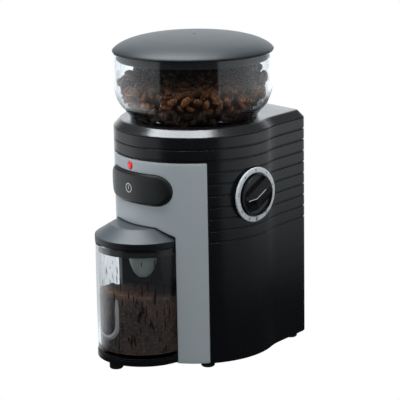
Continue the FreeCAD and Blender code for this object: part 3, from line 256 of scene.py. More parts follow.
def piece(name, verts, faces, body, finish, replaces=(), sharp=32.0, outward=None):
    """Makes a mesh from millimetres about the burr axis, joins coincident points, and turns faces outwards."""
    mesh = bpy.data.meshes.new(name)
    points = np.asarray(verts, float).reshape(-1, 3) * 0.001 + AXIS
    mesh.from_pydata(points.tolist(), [], faces.tolist() if isinstance(faces, np.ndarray) else faces)
    work = bmesh.new()
    work.from_mesh(mesh)
    bmesh.ops.remove_doubles(work, verts=work.verts, dist=2e-6)
    bmesh.ops.dissolve_degenerate(work, edges=work.edges, dist=1e-7)
    bmesh.ops.recalc_face_normals(work, faces=work.faces)
    if outward is not None:
        centre = Vector(np.asarray(outward, float) * 0.001 + AXIS)
        total = sum(f.normal.dot(f.calc_center_median() - centre) * f.calc_area() for f in work.faces)
        if total < 0:
            bmesh.ops.reverse_faces(work, faces=work.faces)
    work.to_mesh(mesh)
    work.free()
    mesh.materials.append(MATERIALS[finish])
    mesh.shade_smooth()
    mesh.set_sharp_from_angle(angle=math.radians(sharp))
    made = bpy.data.objects.new(name, mesh)
    bpy.context.scene.collection.objects.link(made)
    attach(made, body)
    if replaces:
        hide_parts(*replaces)
    return made


def left_of(heading, length):
    """The plan vector to the left of a heading in degrees."""
    return np.array([-math.sin(math.radians(heading)), math.cos(math.radians(heading))]) * length


def half_plan(inset, start=-90.0, counts=(60, 14, 12, 10, 10)):
    """Right half of the body's plan: round front, hollow flare, tapered flank, rear corner, flat rear."""
    flare_angle, taper, flare_r, rear_y = 28.2, 13.25, 58.0, 83.0
    a = np.radians(np.linspace(start, flare_angle, counts[0]))
    front = np.stack([np.cos(a), np.sin(a)], 1) * (BODY_R - inset)
    out = np.array([math.cos(math.radians(flare_angle)), math.sin(math.radians(flare_angle))])
    centre = out * (BODY_R + flare_r)
    heads = np.linspace(90 + flare_angle, 90 + taper, counts[1])
    flare = np.array([centre + left_of(h, flare_r + inset) for h in heads])
    corner_r = max(8.0 - inset, 0.8)
    turned = 90 + taper
    along = np.array([math.cos(math.radians(turned)), math.sin(math.radians(turned))])
    offset = flare[-1] + left_of(turned, corner_r)
    corner = offset + along * ((rear_y - inset - corner_r - offset[1]) / along[1])
    flank = np.linspace(flare[-1], corner - left_of(turned, corner_r), counts[2])
    turn = np.array([corner - left_of(h, corner_r) for h in np.linspace(turned, 180, counts[3])])
    rear = np.linspace(turn[-1], np.array([0.0, turn[-1][1]]), counts[4])
    return np.concatenate([front, flare[1:], flank[1:], turn[1:], rear[1:]])


def plan(inset, start=-90.0):
    """The whole plan, from the front middle (or the panel's edge) round to where it began."""
    right = half_plan(inset, start)
    left = right[::-1][1:] * np.array([-1, 1])
    return np.concatenate([right, left])


def groove(z):
    """Heights and depths of one groove with rounded lips."""
    steps = ((-0.74, 0), (-0.68, 0.03), (-0.63, 0.12), (-0.58, 0.7), (-0.45, 0.8), (0.45, 0.8), (0.58, 0.7),
             (0.63, 0.12), (0.68, 0.03), (0.74, 0))
    return [(z + dz, depth) for dz, depth in steps]


def held(rows, gap=0.4):
    """Adds a row close to both ends of every long step, so that smooth shading stays on the fillets."""
    rows = np.asarray(rows, float)
    kept = [rows[:1]]
    for a, b in zip(rows, rows[1:]):
        span = np.linalg.norm((b - a)[:2])
        shares = (gap / span, 1 - gap / span, 1.0) if span > 4 * gap else (1.0,)
        kept += [(a + (b - a) * share)[None] for share in shares]
    return np.concatenate(kept)


def sweep_plan(rows, start=-90.0):
    """Stacks the plan at each (height, inset) of `rows`."""
    return np.array([np.column_stack([plan(inset, start), np.full(len(plan(inset, start)), z)]) for z, inset in rows])


WALL = 2.6
GROOVES = [179.15 - 9.25 * k for k in range(9)]
rows = [(6.0, WALL), (6.0, 0.5), (6.5, 0.0), (55.0, 0.0)]
for z in sorted(GROOVES[2:]):
    rows += groove(z)
rows += [(166.0, 0.0), (168.95, 0.0)]
rows = held(rows)
strip = sweep_plan(rows, -29.6)
inner = sweep_plan([(z, WALL) for z, inset in rows], -29.9)
lip = sweep_plan([(z, inset + 0.25) for z, inset in rows], -29.75)
strip = np.concatenate([inner[:, :1], lip[:, :1], strip, lip[:, -1:], inner[:, -1:]], 1)
band_rows = [(168.95, WALL), (168.95, 0.3), (169.0, 0.12), (169.1, 0.0)] + groove(170.1)[1:]
band_rows += [(175.0, 0.0)] + groove(GROOVES[0]) + [(184.0, 0.0), (187.75, 0.0), (188.0, 0.1), (188.15, 0.4)]
band_rows += [(188.15, WALL)]
band = sweep_plan(held(band_rows))
strip_faces = grid_faces(*strip.shape[:2])
band_faces = grid_faces(*band.shape[:2]) + strip.shape[0] * strip.shape[1]
wall_verts = np.concatenate([strip.reshape(-1, 3), band.reshape(-1, 3)])
piece("shell", wall_verts, np.concatenate([strip_faces, band_faces]), "housing", "body_black", ["main_housing"],
      sharp=40, outward=(0, 10, 100))


# ---------------------------------------------------------------- top cover
# Broad chamfer with softened edges, and a flat deck in to the round opening that the
# adjusting ring turns in.
def deck_row(z, radius):
    """The plan's points drawn in along their own bearings to a circle."""
    outline = plan(5.8)
    bearing = outline / np.linalg.norm(outline, axis=1, keepdims=True)
    return np.column_stack([bearing * radius, np.full(len(outline), z)])


cover_rows = [(188.15, WALL), (188.2, 0.45), (188.35, 0.12), (188.6, 0.08), (188.9, 0.3), (193.5, 4.75), (193.9, 5.15),
              (194.2, 5.6), (194.37, 6.1), (194.4, 6.7)]
cover = sweep_plan(held(cover_rows))
deck = np.array([deck_row(194.4, 51.6), deck_row(194.3, 51.1), deck_row(194.0, 50.9), deck_row(190.0, 50.9)])
cover = np.concatenate([cover, deck])
piece("cover", cover, grid_faces(*cover.shape[:2]), "housing", "cover_black", ["top_cover"], sharp=24,
      outward=(0, 10, 150))


# ---------------------------------------------------------------- front panel
# A curved satin sheet with the bin's mouth, the button's window and the lamp's hole
# cut from it; each edge is softened and turns back into the body.
def loop(corners, radii, step=1.6):
    """A closed outline with rounded corners, filled with points about `step` apart."""
    corners = np.asarray(corners, float)
    n = len(corners)
    points = []
    for k in range(n):
        here, before, after = corners[k], corners[k - 1], corners[(k + 1) % n]
        a = (before - here) / np.linalg.norm(before - here)
        b = (after - here) / np.linalg.norm(after - here)
        half = math.acos(max(-1.0, min(1.0, float(a @ b)))) / 2
        reach = radii[k] / math.tan(half)
        t = np.linspace(0, 1, 7)[:, None]
        points.append((1 - t) ** 2 * (here + a * reach) + 2 * t * (1 - t) * here + t ** 2 * (here + b * reach))
    dense = np.concatenate(points)
    filled = []
    for p, q in zip(dense, np.roll(dense, -1, 0)):
        count = max(1, int(np.linalg.norm(q - p) / step))
        filled.append(p + (q - p) * np.arange(count)[:, None] / count)
    return np.concatenate(filled)


def offset(outline, distance):
    """Moves a closed counter-clockwise outline inwards by the mean of its neighbouring edge normals."""
    ahead = np.roll(outline, -1, 0) - outline
    ahead /= np.linalg.norm(ahead, axis=1, keepdims=True) + 1e-12
    normal = np.stack([-ahead[:, 1], ahead[:, 0]], 1)
    mean = normal + np.roll(normal, 1, 0)
    mean /= np.linalg.norm(mean, axis=1, keepdims=True)
    share = np.clip((mean * normal).sum(1), 0.5, 1.0)[:, None]
    return outline + mean * distance / share


def inside(points, outline):
    """Even-odd test of points against a closed outline."""
    x, y = points[:, :1], points[:, 1:]
    x1, y1 = outline[:, 0], outline[:, 1]
    x2, y2 = np.roll(x1, -1), np.roll(y1, -1)
    with np.errstate(divide="ignore", invalid="ignore"):
        crosses = ((y1 > y) != (y2 > y)) & (x < (x2 - x1) * (y - y1) / (y2 - y1) + x1)
    return crosses.sum(1) % 2 == 1


def sheet(outer, holes, pitch):
    """Triangles that fill an outline with holes, with extra points on a square grid."""
    lo, hi = outer.min(0), outer.max(0)
    gx, gy = np.meshgrid(np.arange(lo[0], hi[0], pitch), np.arange(lo[1], hi[1], pitch))
    spots = np.stack([gx.ravel(), gy.ravel()], 1)
    rims = np.concatenate([outer] + holes)
    spots = spots[((spots[:, None] - rims) ** 2).sum(2).min(1) > (pitch * 0.45) ** 2]
    keep = inside(spots, outer)
    for hole in holes:
        keep &= ~inside(spots, hole)
    spots = spots[keep]
    points, edges, base = [], [], 0
    for ring in [outer] + holes:
        points += ring.tolist()
        edges += [(base + k, base + (k + 1) % len(ring)) for k in range(len(ring))]
        base += len(ring)
    points += spots.tolist()
    verts, _, faces, _, _, _ = delaunay_2d_cdt([Vector(p) for p in points], edges, [], 0, 1e-5)
    verts = np.array([tuple(v) for v in verts])
    faces = np.array([f for f in faces if len(f) == 3])
    middle = verts[faces].mean(1)
    good = inside(middle, outer)
    for hole in holes:
        good &= ~inside(middle, hole)
    return verts, faces[good]


def rolled(flat, radius, around):
    """Rolls (arc s, height) points onto a cylinder: angle s / around, x = R sin angle, y = -R cos angle."""
    angle = flat[:, 0] / around
    return np.column_stack([np.sin(angle) * radius, -np.cos(angle) * radius, flat[:, 1]])


def edged(outer, holes, levels, pitch, place):
    """A sheet whose edges step back through (distance out, depth) levels; `place` puts flat points in space."""
    first = levels[0][0]
    verts, faces = sheet(offset(outer, first), [offset(h, -first) for h in holes], pitch)
    all_verts, all_faces = [place(verts, levels[0][1])], [list(f) for f in faces]
    base = len(verts)
    for ring, sign in [(outer, 1)] + [(h, -1) for h in holes]:
        rings = [place(offset(ring, sign * out), depth) for out, depth in levels]
        all_verts += rings
        all_faces += (grid_faces(len(levels), len(ring), wrap_cols=True) + base).tolist()
        base += len(levels) * len(ring)
    return np.concatenate(all_verts), all_faces


def stadium(half_w, half_h, z, n=22):
    """Counter-clockwise outline of a bar with round ends."""
    a = np.linspace(-math.pi / 2, math.pi / 2, n)
    right = np.stack([half_w - half_h + np.cos(a) * half_h, z + np.sin(a) * half_h], 1)
    left = np.stack([-(half_w - half_h) - np.cos(a) * half_h, z - np.sin(a) * half_h], 1)
    top = np.stack([np.linspace(half_w - half_h, half_h - half_w, 30)[1:-1], np.full(28, z + half_h)], 1)
    bottom = np.stack([np.linspace(half_h - half_w, half_w - half_h, 30)[1:-1], np.full(28, z - half_h)], 1)
    return np.concatenate([right, top, left, bottom])


BUTTON_W, BUTTON_H, BUTTON_Z, BUTTON_GAP = 37.8, 12.1, 145.9, 0.35
LAMP_Z = 163.0
PANEL_FOOT, PANEL_TOP, MOUTH_SIDE, MOUTH_TOP = 6.2, 168.65, 109.6, 116.0
half = BODY_R * math.radians(59.95)
mouth, shoulder = BODY_R * math.asin(39.2 / BODY_R), BODY_R * math.asin(24.7 / BODY_R)
corners = [(half, PANEL_FOOT), (half, PANEL_TOP), (-half, PANEL_TOP), (-half, PANEL_FOOT), (-mouth, PANEL_FOOT),
           (-mouth, MOUTH_SIDE), (-shoulder, MOUTH_TOP), (shoulder, MOUTH_TOP), (mouth, MOUTH_SIDE),
           (mouth, PANEL_FOOT)]
panel_outline = loop(corners, (0.3, 1.5, 1.5, 0.3, 0.3, 1.2, 1.2, 1.2, 1.2, 0.3))
window = stadium(BUTTON_W + BUTTON_GAP, BUTTON_H + BUTTON_GAP, BUTTON_Z)
window[:, 0] = BODY_R * np.arcsin(window[:, 0] / BODY_R)
ring_a = np.linspace(0, 2 * math.pi, 40, endpoint=False)
lamp = np.stack([3.05 * np.cos(ring_a), LAMP_Z + 3.05 * np.sin(ring_a)], 1)
levels = [(0.7, 0.0), (0.45, 0.04), (0.22, 0.16), (0.05, 0.4), (0.0, 0.8), (0.0, WALL)]
panel_verts, panel_faces = edged(panel_outline, [window, lamp], levels, 2.6,
                                 lambda flat, depth: rolled(flat, BODY_R - depth, BODY_R))
piece("panel", panel_verts, panel_faces, "housing", "panel_silver", ["front_panel"], sharp=38, outward=(0, 0, 90))


# ---------------------------------------------------------------- button
# The wide start button: a bowed face standing proud, a broad bevel round it, a printed
# ring with a bar, and the small red lamp above.
def bowed(flat, depth):
    """Puts (x, z) on the button's bowed face: y is `depth` less the root of 67 squared minus x squared."""
    radius = 67.0
    return np.column_stack([flat[:, 0], -np.sqrt(radius ** 2 - flat[:, 0] ** 2) + depth, flat[:, 1]])


button_levels = [(2.0, 0.0), (1.75, 0.03), (1.5, 0.12), (0.35, 0.95), (0.1, 1.2), (0.0, 1.6), (0.0, 6.0)]
button_verts, button_faces = edged(stadium(BUTTON_W, BUTTON_H, BUTTON_Z), [], button_levels, 2.4, bowed)
piece("start_button", button_verts, button_faces, "button", "button_charcoal", ["power_button"], sharp=20,
      outward=(0, 0, BUTTON_Z))


def band_on_face(inner_r, outer_r, centre, place, n=48):
    """A flat ring laid on a face by `place`."""
    a = np.linspace(0, 2 * math.pi, n)
    rings = [np.stack([centre[0] + r * np.sin(a), centre[1] + r * np.cos(a)], 1) for r in (inner_r, outer_r)]
    return np.concatenate([place(ring) for ring in rings]), grid_faces(2, n)


symbol_verts, symbol_faces = band_on_face(3.1, 3.8, (0, 145.3), lambda flat: bowed(flat, -0.03))
bar = np.array([(-0.32, 144.2), (0.32, 144.2), (0.32, 147.6), (-0.32, 147.6)])
symbol_verts = np.concatenate([symbol_verts, bowed(bar, -0.03)])
symbol_faces = symbol_faces.tolist() + [[len(symbol_verts) - 4 + k for k in range(4)]]
piece("button_symbol", symbol_verts, symbol_faces, "button", "mark_white", outward=(0, 0, BUTTON_Z))


def lathe(profile, centre=(0.0, 0.0), n=160, closed=True):
    """Turns (r, height) points about a vertical axis: x = cx + r cos a, y = cy + r sin a."""
    profile = held(profile)
    a = np.linspace(0, 2 * math.pi, n, endpoint=False)
    verts = np.stack([centre[0] + profile[:, :1] * np.cos(a), centre[1] + profile[:, :1] * np.sin(a),
                      np.repeat(profile[:, 1:], n, 1)], -1)
    return verts.reshape(-1, 3), grid_faces(len(profile), n, wrap_rows=closed, wrap_cols=True)


def rounded(points, radii, steps=4):
    """An open polyline whose inner corners are rounded; one radius or a list of them."""
    points = np.asarray(points, float)
    radii = [radii] * len(points) if np.isscalar(radii) else radii
    result = [points[0][None]]
    for k in range(1, len(points) - 1):
        here = points[k]
        a, b = points[k - 1] - here, points[k + 1] - here
        reach = min(radii[k], 0.45 * np.linalg.norm(a), 0.45 * np.linalg.norm(b))
        if reach <= 0:
            result.append(here[None])
            continue
        a, b = a / np.linalg.norm(a) * reach, b / np.linalg.norm(b) * reach
        t = np.linspace(0, 1, steps + 1)[:, None]
        result.append((1 - t) ** 2 * (here + a) + 2 * t * (1 - t) * here + t ** 2 * (here + b))
    return np.concatenate(result + [points[-1][None]])


lens_profile = [(0, -2.5), (2.85, -2.5), (2.9, 0.0), (2.7, 0.35), (2.2, 0.6), (1.2, 0.8), (0, 0.86)]
lens_verts, lens_faces = lathe(lens_profile, n=40)
lens_verts = np.column_stack([lens_verts[:, 0], 0.2 - BODY_R - lens_verts[:, 2], LAMP_Z + lens_verts[:, 1]])
piece("lamp_lens", lens_verts, lens_faces, "housing", "lens_red", ["indicator_lens"], sharp=50)


# ---------------------------------------------------------------- timer dial
# A silver scale ring with printed marks, a low black disc and its gabled grip with a
# pale line along the ridge, all on an axis a few degrees behind the side.
DIAL = math.radians(6.0)
DIAL_Z, PRINT_OUT, KNOB_R = 139.5, 68.04, 16.2
DIAL_OUT = np.array([math.cos(DIAL), math.sin(DIAL), 0.0])
DIAL_RIGHT = np.array([-math.sin(DIAL), math.cos(DIAL), 0.0])


def dialwise(points):
    """Local (right, up, out) millimetres on the dial, put on the side of the body."""
    points = np.asarray(points, float).reshape(-1, 3)
    return points[:, :1] * DIAL_RIGHT + points[:, 2:] * DIAL_OUT + (points[:, 1:2] + DIAL_Z) * np.array([0, 0, 1.0])


ring_profile = rounded([(20.0, 66.3), (21.7, 66.3), (21.7, 68.0), (17.6, 68.0), (17.3, 66.4)], [0, 0.3, 0.6, 0.6, 0])
ring_verts, ring_faces = lathe(ring_profile, n=120, closed=False)
piece("scale_ring", dialwise(ring_verts), ring_faces, "housing", "ring_silver", ["dial_ring"], sharp=40,
      outward=(50, 5, DIAL_Z))
well_profile = [(17.35, 66.45), (6.0, 66.4), (6.0, 58.0), (20.05, 52.0), (20.05, 66.4)]
well_verts, well_faces = lathe(well_profile, n=120, closed=False)
piece("ring_seat", dialwise(well_verts), well_faces, "housing", "body_black", outward=(50, 5, DIAL_Z))


def dial_mark(clock, inner_r, outer_r, width):
    """A short printed stroke on the ring at a clock position."""
    a = math.radians(clock * 30)
    along, across = np.array([math.sin(a), math.cos(a)]), np.array([math.cos(a), -math.sin(a)]) * width / 2
    flat = [along * inner_r - across, along * inner_r + across, along * outer_r + across, along * outer_r - across]
    return [(p[0], p[1], PRINT_OUT) for p in flat]


strokes = [(0, 18.4, 20.8, 0.7), (1.25, 18.8, 20.4, 0.6), (2.5, 18.8, 20.4, 0.5), (10.75, 19.0, 20.2, 1.0),
           (6.0, 18.3, 20.9, 1.0), (5.9, 18.3, 18.9, 2.4), (5.9, 20.3, 20.9, 2.4)]
mark_verts = np.concatenate([dialwise(dial_mark(*stroke)) for stroke in strokes])
mark_faces = np.arange(4 * len(strokes)).reshape(-1, 4)
piece("ring_marks", mark_verts, mark_faces, "housing", "dark_print_and_shade", outward=(0, 0, DIAL_Z))


def figure(text, clock, radius, size):
    """A dial number as a flat mesh, upright, at a clock position on the ring."""
    curve = bpy.data.curves.new("figure_" + text, "FONT")
    curve.body, curve.size, curve.align_x, curve.align_y, curve.resolution_u = text, size, "CENTER", "CENTER", 3
    source = bpy.data.objects.new("figure_" + text, curve)
    bpy.context.scene.collection.objects.link(source)
    flat = bpy.data.meshes.new_from_object(source.evaluated_get(bpy.context.evaluated_depsgraph_get()))
    points = np.array([tuple(v.co) for v in flat.vertices])
    polygons = [list(p.vertices) for p in flat.polygons]
    bpy.data.objects.remove(source)
    bpy.data.curves.remove(curve)
    bpy.data.meshes.remove(flat)
    a = math.radians(clock * 30)
    shifted = points + np.array([math.sin(a) * radius, math.cos(a) * radius, PRINT_OUT])
    return dialwise(shifted), polygons


number_verts, number_faces, base = [], [], 0
for text, clock in (("2", 9.3), ("4", 7.85), ("6", 6.75), ("8", 4.85)):
    verts, faces = figure(text, clock, 19.6, 3.7)
    number_verts.append(verts)
    number_faces += [[v + base for v in f] for f in faces]
    base += len(verts)
piece("ring_numbers", np.concatenate(number_verts), number_faces, "housing", "dark_print_and_shade",
      outward=(0, 0, DIAL_Z))

disc_profile = rounded([(0, 66.9), (6.5, 66.9), (6.5, 67.8), (KNOB_R, 67.8), (KNOB_R, 70.8), (15.5, 71.0), (15.1, 69.0),
                        (0, 68.6)], [0, 0, 0, 0.3, 0.5, 0.2, 0.2, 0])
disc_verts, disc_faces = lathe(disc_profile, n=120)


def grip_back(along, across):
    """Height of the grip: 74.35 less 0.42 of the distance from a ridge line, under a sloping cap at the far end.

    The ridge line runs off centre and bends near the pointer, where a pocket 2.6 mm deep drops beside it.
    """
    bend = across + 1.6 + 0.506 * np.clip(along - 5.4, 0, None)
    ridge = 74.35 - 0.42 * (np.sqrt(bend ** 2 + 0.09) - 0.3)
    pocket = np.clip((along - 6.4) / 0.5, 0, 1) * np.clip((bend - 0.3) / 0.5, 0, 1) * np.clip((6.0 - bend) / 0.5, 0, 1)
    far_end = 70.4 + 1.3 * np.clip(15.2 + along, 0, 9)
    return np.minimum(ridge - pocket * 2.6, far_end)


grip_f = np.concatenate([[-7.4, -7.4, -7.2], np.linspace(-6.8, 13.0, 46)])
grip_s = np.concatenate([[-1.0, -0.995, -0.97], np.linspace(-0.94, 0.97, 60), [0.995, 1.0]])
grip = []
for share in grip_s:
    reach = np.sqrt(15.05 ** 2 - grip_f ** 2)
    height = np.maximum(grip_back(reach * share, grip_f) - (0.0 if abs(share) < 0.98 else 0.5), 69.4)
    height[0] = 68.5
    grip.append(np.stack([reach * share, grip_f, height], 1))
grip = np.array(grip)
grip[[0, -1], :, 2] = 68.5
POINTER = math.radians(240.0)
pointer_way = np.array([math.sin(POINTER), math.cos(POINTER)])
pointer_side = np.array([-math.cos(POINTER), math.sin(POINTER)])


def on_grip(points):
    """Local (along the pointer, across it, out) to dial coordinates."""
    points = np.asarray(points, float).reshape(-1, 3)
    return np.column_stack([points[:, :1] * pointer_way + points[:, 1:2] * pointer_side, points[:, 2]])


grip_faces = grid_faces(*grip.shape[:2]) + len(disc_verts)
piece("knob", np.concatenate([dialwise(disc_verts), dialwise(on_grip(grip))]), np.concatenate([disc_faces, grip_faces]),
      "timer", "knob_black", ["timer_knob"], sharp=35, outward=(60, 6, DIAL_Z))
ridge_e = np.array([-13.2, -6.0, 0.0, 5.4, 9.0, 13.6])
ridge_f = -1.6 - 0.506 * np.clip(ridge_e - 5.4, 0, None)
ridge_h = grip_back(ridge_e, ridge_f) + 0.06
line = np.concatenate([np.column_stack([ridge_e, ridge_f + side, ridge_h]) for side in (-0.3, 0.3)])
piece("knob_line", dialwise(on_grip(line)), grid_faces(2, 6), "timer", "mark_white", ["knob_pointer"],
      outward=(60, 6, DIAL_Z))


shaft_verts, shaft_faces = lathe([(0, 50.5), (2.9, 50.5), (3.0, 50.7), (3.0, 71.8), (0, 71.8)], n=40)
piece("dial_shaft", dialwise(shaft_verts), shaft_faces, "timer", "steel", ["timer_shaft"])


# ---------------------------------------------------------------- hopper and lid
# The clear bowl, curved from its foot to a straight rim, and the dark domed lid with a
# thick plug band inside the rim and a small vent, a flat dark disc painted for the shade in its hole.
def curve(points, n):
    """A smooth curve through points: cubic pieces with tangents from neighbouring points."""
    points = np.asarray(points, float)
    padded = np.concatenate([2 * points[:1] - points[1:2], points, 2 * points[-1:] - points[-2:-1]])
    t = np.linspace(0, 1, n, endpoint=False)[:, None]
    parts = []
    for p0, p1, p2, p3 in zip(padded, padded[1:], padded[2:], padded[3:]):
        parts.append(0.5 * (2 * p1 + (p2 - p0) * t + (2 * p0 - 5 * p1 + 4 * p2 - p3) * t ** 2
                            + (3 * p1 - p0 - 3 * p2 + p3) * t ** 3))
    return np.concatenate(parts + [points[-1:]])


BOWL_SHARES = ((0.0, 0.0), (0.309, 0.179), (0.633, 0.345), (0.827, 0.52), (0.942, 0.716), (1.0, 1.0))
bowl_out = curve([(50.1 + 13.9 * a, 194.5 + 29.5 * b) for a, b in BOWL_SHARES], 7)
bowl_in = curve([(48.1 + 13.9 * a, 196.8 + 27.2 * b) for a, b in BOWL_SHARES], 7)
rim = rounded([(64.0, 230.0), (64.0, 247.5), (62.0, 247.5), (62.0, 230.0)], 0.7)
throat = rounded([(48.1, 196.8), (22.0, 190.5), (22.0, 185.4), (24.0, 185.4), (24.0, 188.1), (41.1, 194.5),
                  (50.1, 194.5)], 1.0)
bowl_profile = np.concatenate([bowl_out[:-1], rim, bowl_in[::-1][1:-1], throat[:-1]])
bowl_verts, bowl_faces = lathe(bowl_profile, n=180)
piece("bowl", bowl_verts, bowl_faces, "hopper", "clear_plastic", ["hopper_bowl"], sharp=50)

LID_SHARES = ((1.0, 0.03), (0.985, 0.13), (0.94, 0.30), (0.86, 0.50), (0.76, 0.66), (0.64, 0.79), (0.5, 0.88),
              (0.3, 0.96), (0.0, 1.0))
LID_Z, LID_R, LID_HEIGHT, LID_WALL = 247.8, 64.6, 13.6, 2.0
lid_top = curve([(LID_R * a, LID_Z + LID_HEIGHT * b) for a, b in LID_SHARES], 8)
lid_under = curve([((LID_R - LID_WALL) * a, LID_Z + (LID_HEIGHT - LID_WALL) * b) for a, b in LID_SHARES], 4)
plug = rounded([(62.6, 248.2), (58.2, 248.2), (58.2, 240.8), (60.0, 240.8), (60.0, LID_Z), (64.3, LID_Z),
                (LID_R, 248.3)], 0.5)
lid_profile = np.concatenate([lid_top[::-1][:-1], plug[::-1][1:], lid_under[1:]])
lid_verts, lid_faces = lathe(lid_profile, n=180, closed=False)
piece("lid", lid_verts, lid_faces, "lid", "lid_slate", ["hopper_lid"], sharp=40)
# Painted shade: the vent is a flat dark disc on the lid, standing in for the dark of its hole.
vent_verts, vent_faces = lathe([(0.0, 261.37), (1.3, 261.37), (1.3, 261.0), (0.0, 261.0)], (6.0, -3.0), 24)
piece("vent", vent_verts, vent_faces, "lid", "dark_print_and_shade")


# ---------------------------------------------------------------- beans
# Roasted beans heaped in the hopper: one low-poly bean with a crease, placed many times
# behind the clear wall and over the heap, round a near-black core that is painted shade.
def bowl_inner(z):
    """Inner radius of the bowl at a height."""
    order = bowl_in[np.argsort(bowl_in[:, 1])]
    return np.interp(z, order[:, 1], order[:, 0])


def heap(x, y):
    """Height of the beans: 222 and up to 14.5 more by a logistic step to the back, less at its ends, plus swells."""
    back = 0.618 * y - 0.786 * x
    bank = 1 / (1 + np.exp(-(back + 8) / 9.0))
    side = 0.786 * y + 0.618 * x
    ends = 11 / (1 + np.exp((side + 38) / 5.0)) + 9 / (1 + np.exp(-(side - 48) / 4.0))
    return 222.0 + (14.5 - ends) * bank + 1.2 * np.sin(x * 0.14) * np.cos(y * 0.11 + 1)


def bean_shape():
    """A bean 10.8 mm long: (5.4 sin u, 3.9 cos u cos v, 3 cos u sin v), flatter below, with a crease along it."""
    sections = np.radians([-90, -68, -30, 10, 50, 90, 130, 170, 210, 248])
    stations = np.radians([-90, -66, -38, -12, 12, 38, 66, 90])
    u, v = np.meshgrid(stations, sections, indexing="ij")
    low = np.clip(-np.sin(v), 0, 1)
    crease = np.where(np.isclose(v, sections[0]), 0.42, 1.0)
    x = 5.4 * np.sin(u)
    y = 3.9 * np.cos(u) * np.cos(v)
    z = 3.0 * np.cos(u) * np.sin(v) * np.where(np.sin(v) < 0, 0.62, 1.0) * crease - 0.2 * low
    return np.stack([x, y, z], -1).reshape(-1, 3), grid_faces(8, 10, wrap_cols=True)


cloud = rng.uniform((-60, -60, 195), (60, 60, 240), (26000, 3))
reach = np.hypot(cloud[:, 0], cloud[:, 1])
room = bowl_inner(cloud[:, 2]) - reach
depth = heap(cloud[:, 0], cloud[:, 1]) - cloud[:, 2]
floor_room = cloud[:, 2] - (190.5 + (reach - 22) * 0.245)
cloud = cloud[(room > 3.7) & (depth > 0) & (floor_room > 2.6) & ((room < 11) | (depth < 11))]
chosen = np.empty((0, 3))
for spot in cloud:
    if len(chosen) == 0 or np.min(np.sum((chosen - spot) ** 2 * (1, 1, 1.4), 1)) > 6.3 ** 2:
        chosen = np.vstack([chosen, spot])
shape, shape_faces = bean_shape()
turns = rng.normal(size=(len(chosen), 4))
turns /= np.linalg.norm(turns, axis=1, keepdims=True)
w, x, y, z = turns.T
spin = np.array([[1 - 2 * (y * y + z * z), 2 * (x * y - z * w), 2 * (x * z + y * w)],
                 [2 * (x * y + z * w), 1 - 2 * (x * x + z * z), 2 * (y * z - x * w)],
                 [2 * (x * z - y * w), 2 * (y * z + x * w), 1 - 2 * (x * x + y * y)]]).transpose(2, 0, 1)
sizes = rng.uniform(0.9, 1.08, len(chosen))[:, None, None]
bean_verts = np.einsum("nij,kj->nki", spin, shape) * sizes
bean_verts += chosen[:, None]
limit = bowl_inner(bean_verts[..., 2]) - 0.3
radius = np.hypot(bean_verts[..., 0], bean_verts[..., 1])
bean_verts[..., :2] *= np.minimum(1, limit / np.maximum(radius, 1e-6))[..., None]
bean_faces = (shape_faces[None] + np.arange(len(chosen))[:, None, None] * len(shape)).reshape(-1, 4)
piece("beans", bean_verts, bean_faces, "hopper", "bean", sharp=60)
# Painted shade: a near-black mass under the placed beans stands in for the shaded inside of the heap.
core_a = np.linspace(0, 2 * math.pi, 72, endpoint=False)
core_round = np.stack([np.cos(core_a), np.sin(core_a)], 1)
core_rows = [np.column_stack([core_round * r, heap(*(core_round * r).T) - 5.0]) for r in (0.0, 16.5, 33.0, 46.75, 55.0)]
core_rows += [np.column_stack([core_round * r, np.full(72, z)]) for z, r in (
    (214.0, 54.5), (206.5, 50.5), (201.5, 45.5), (198.6, 42.0), (197.4, 38.0), (193.0, 24.0), (192.0, 0.0))]
piece("bean_core_shade", np.array(core_rows), grid_faces(len(core_rows), 72, wrap_cols=True), "hopper", "bean_core_shade",
      sharp=60)


# ---------------------------------------------------------------- bin
# The clear bin with its round front, the slate cap with a sloping top and soft funnel,
# and the coffee grounds lying in it.
BIN_Y, BIN_R = -54.7, 38.0


def dee(radius, back=-20.0, corner=2.5, n=64):
    """Plan of the bin: straight back, straight sides, half-round front; counter-clockwise from the back middle."""
    a = np.linspace(math.pi, 2 * math.pi, n)
    front = np.stack([radius * np.cos(a), BIN_Y + radius * np.sin(a)], 1)
    corner = min(corner, radius * 0.5)
    b = np.linspace(0, math.pi / 2, 6)
    right = np.stack([radius - corner + corner * np.cos(b), back - corner + corner * np.sin(b)], 1)
    left = right[::-1] * np.array([-1, 1])
    side = np.linspace(0, 1, 9)[1:-1, None]
    up = front[-1] + (right[0] - front[-1]) * side
    down = left[-1] + (front[0] - left[-1]) * side
    top = right[-1] + (left[0] - right[-1]) * np.linspace(0, 1, 12)[1:-1, None]
    return np.concatenate([front, up, right, top, left, down])


def dee_sweep(rows, back=-20.0, setback=None):
    """Stacks the plan at each (radius, height); the back moves in by `setback` of each row when given."""
    setback = setback or [0.0] * len(rows)
    pole = np.tile([[0.0, BIN_Y + 8]], (len(dee(5.0)), 1))
    result = []
    for radius, z, behind in held(np.column_stack([rows, setback])):
        outline = dee(max(radius, 0.01), back - behind) if radius > 0 else pole
        result.append(np.column_stack([outline, np.full(len(outline), z)]))
    return np.array(result)


bin_rows = [(0, 13.0), (36.5, 13.0), (37.6, 13.3), (BIN_R, 14.2), (BIN_R, 30.0), (BIN_R, 60.0), (BIN_R, 100.9),
            (37.6, 101.5), (36.4, 101.5), (36.0, 101.0), (36.0, 60.0), (36.0, 17.6), (35.2, 16.0), (33.6, 15.6),
            (0, 15.6)]
bin_back = [0, 1.5, 0.4, 0, 0, 0, 0, 0.4, 1.6, 2, 2, 2, 2.8, 4.4, 0]
bin_verts = dee_sweep(bin_rows, setback=bin_back)


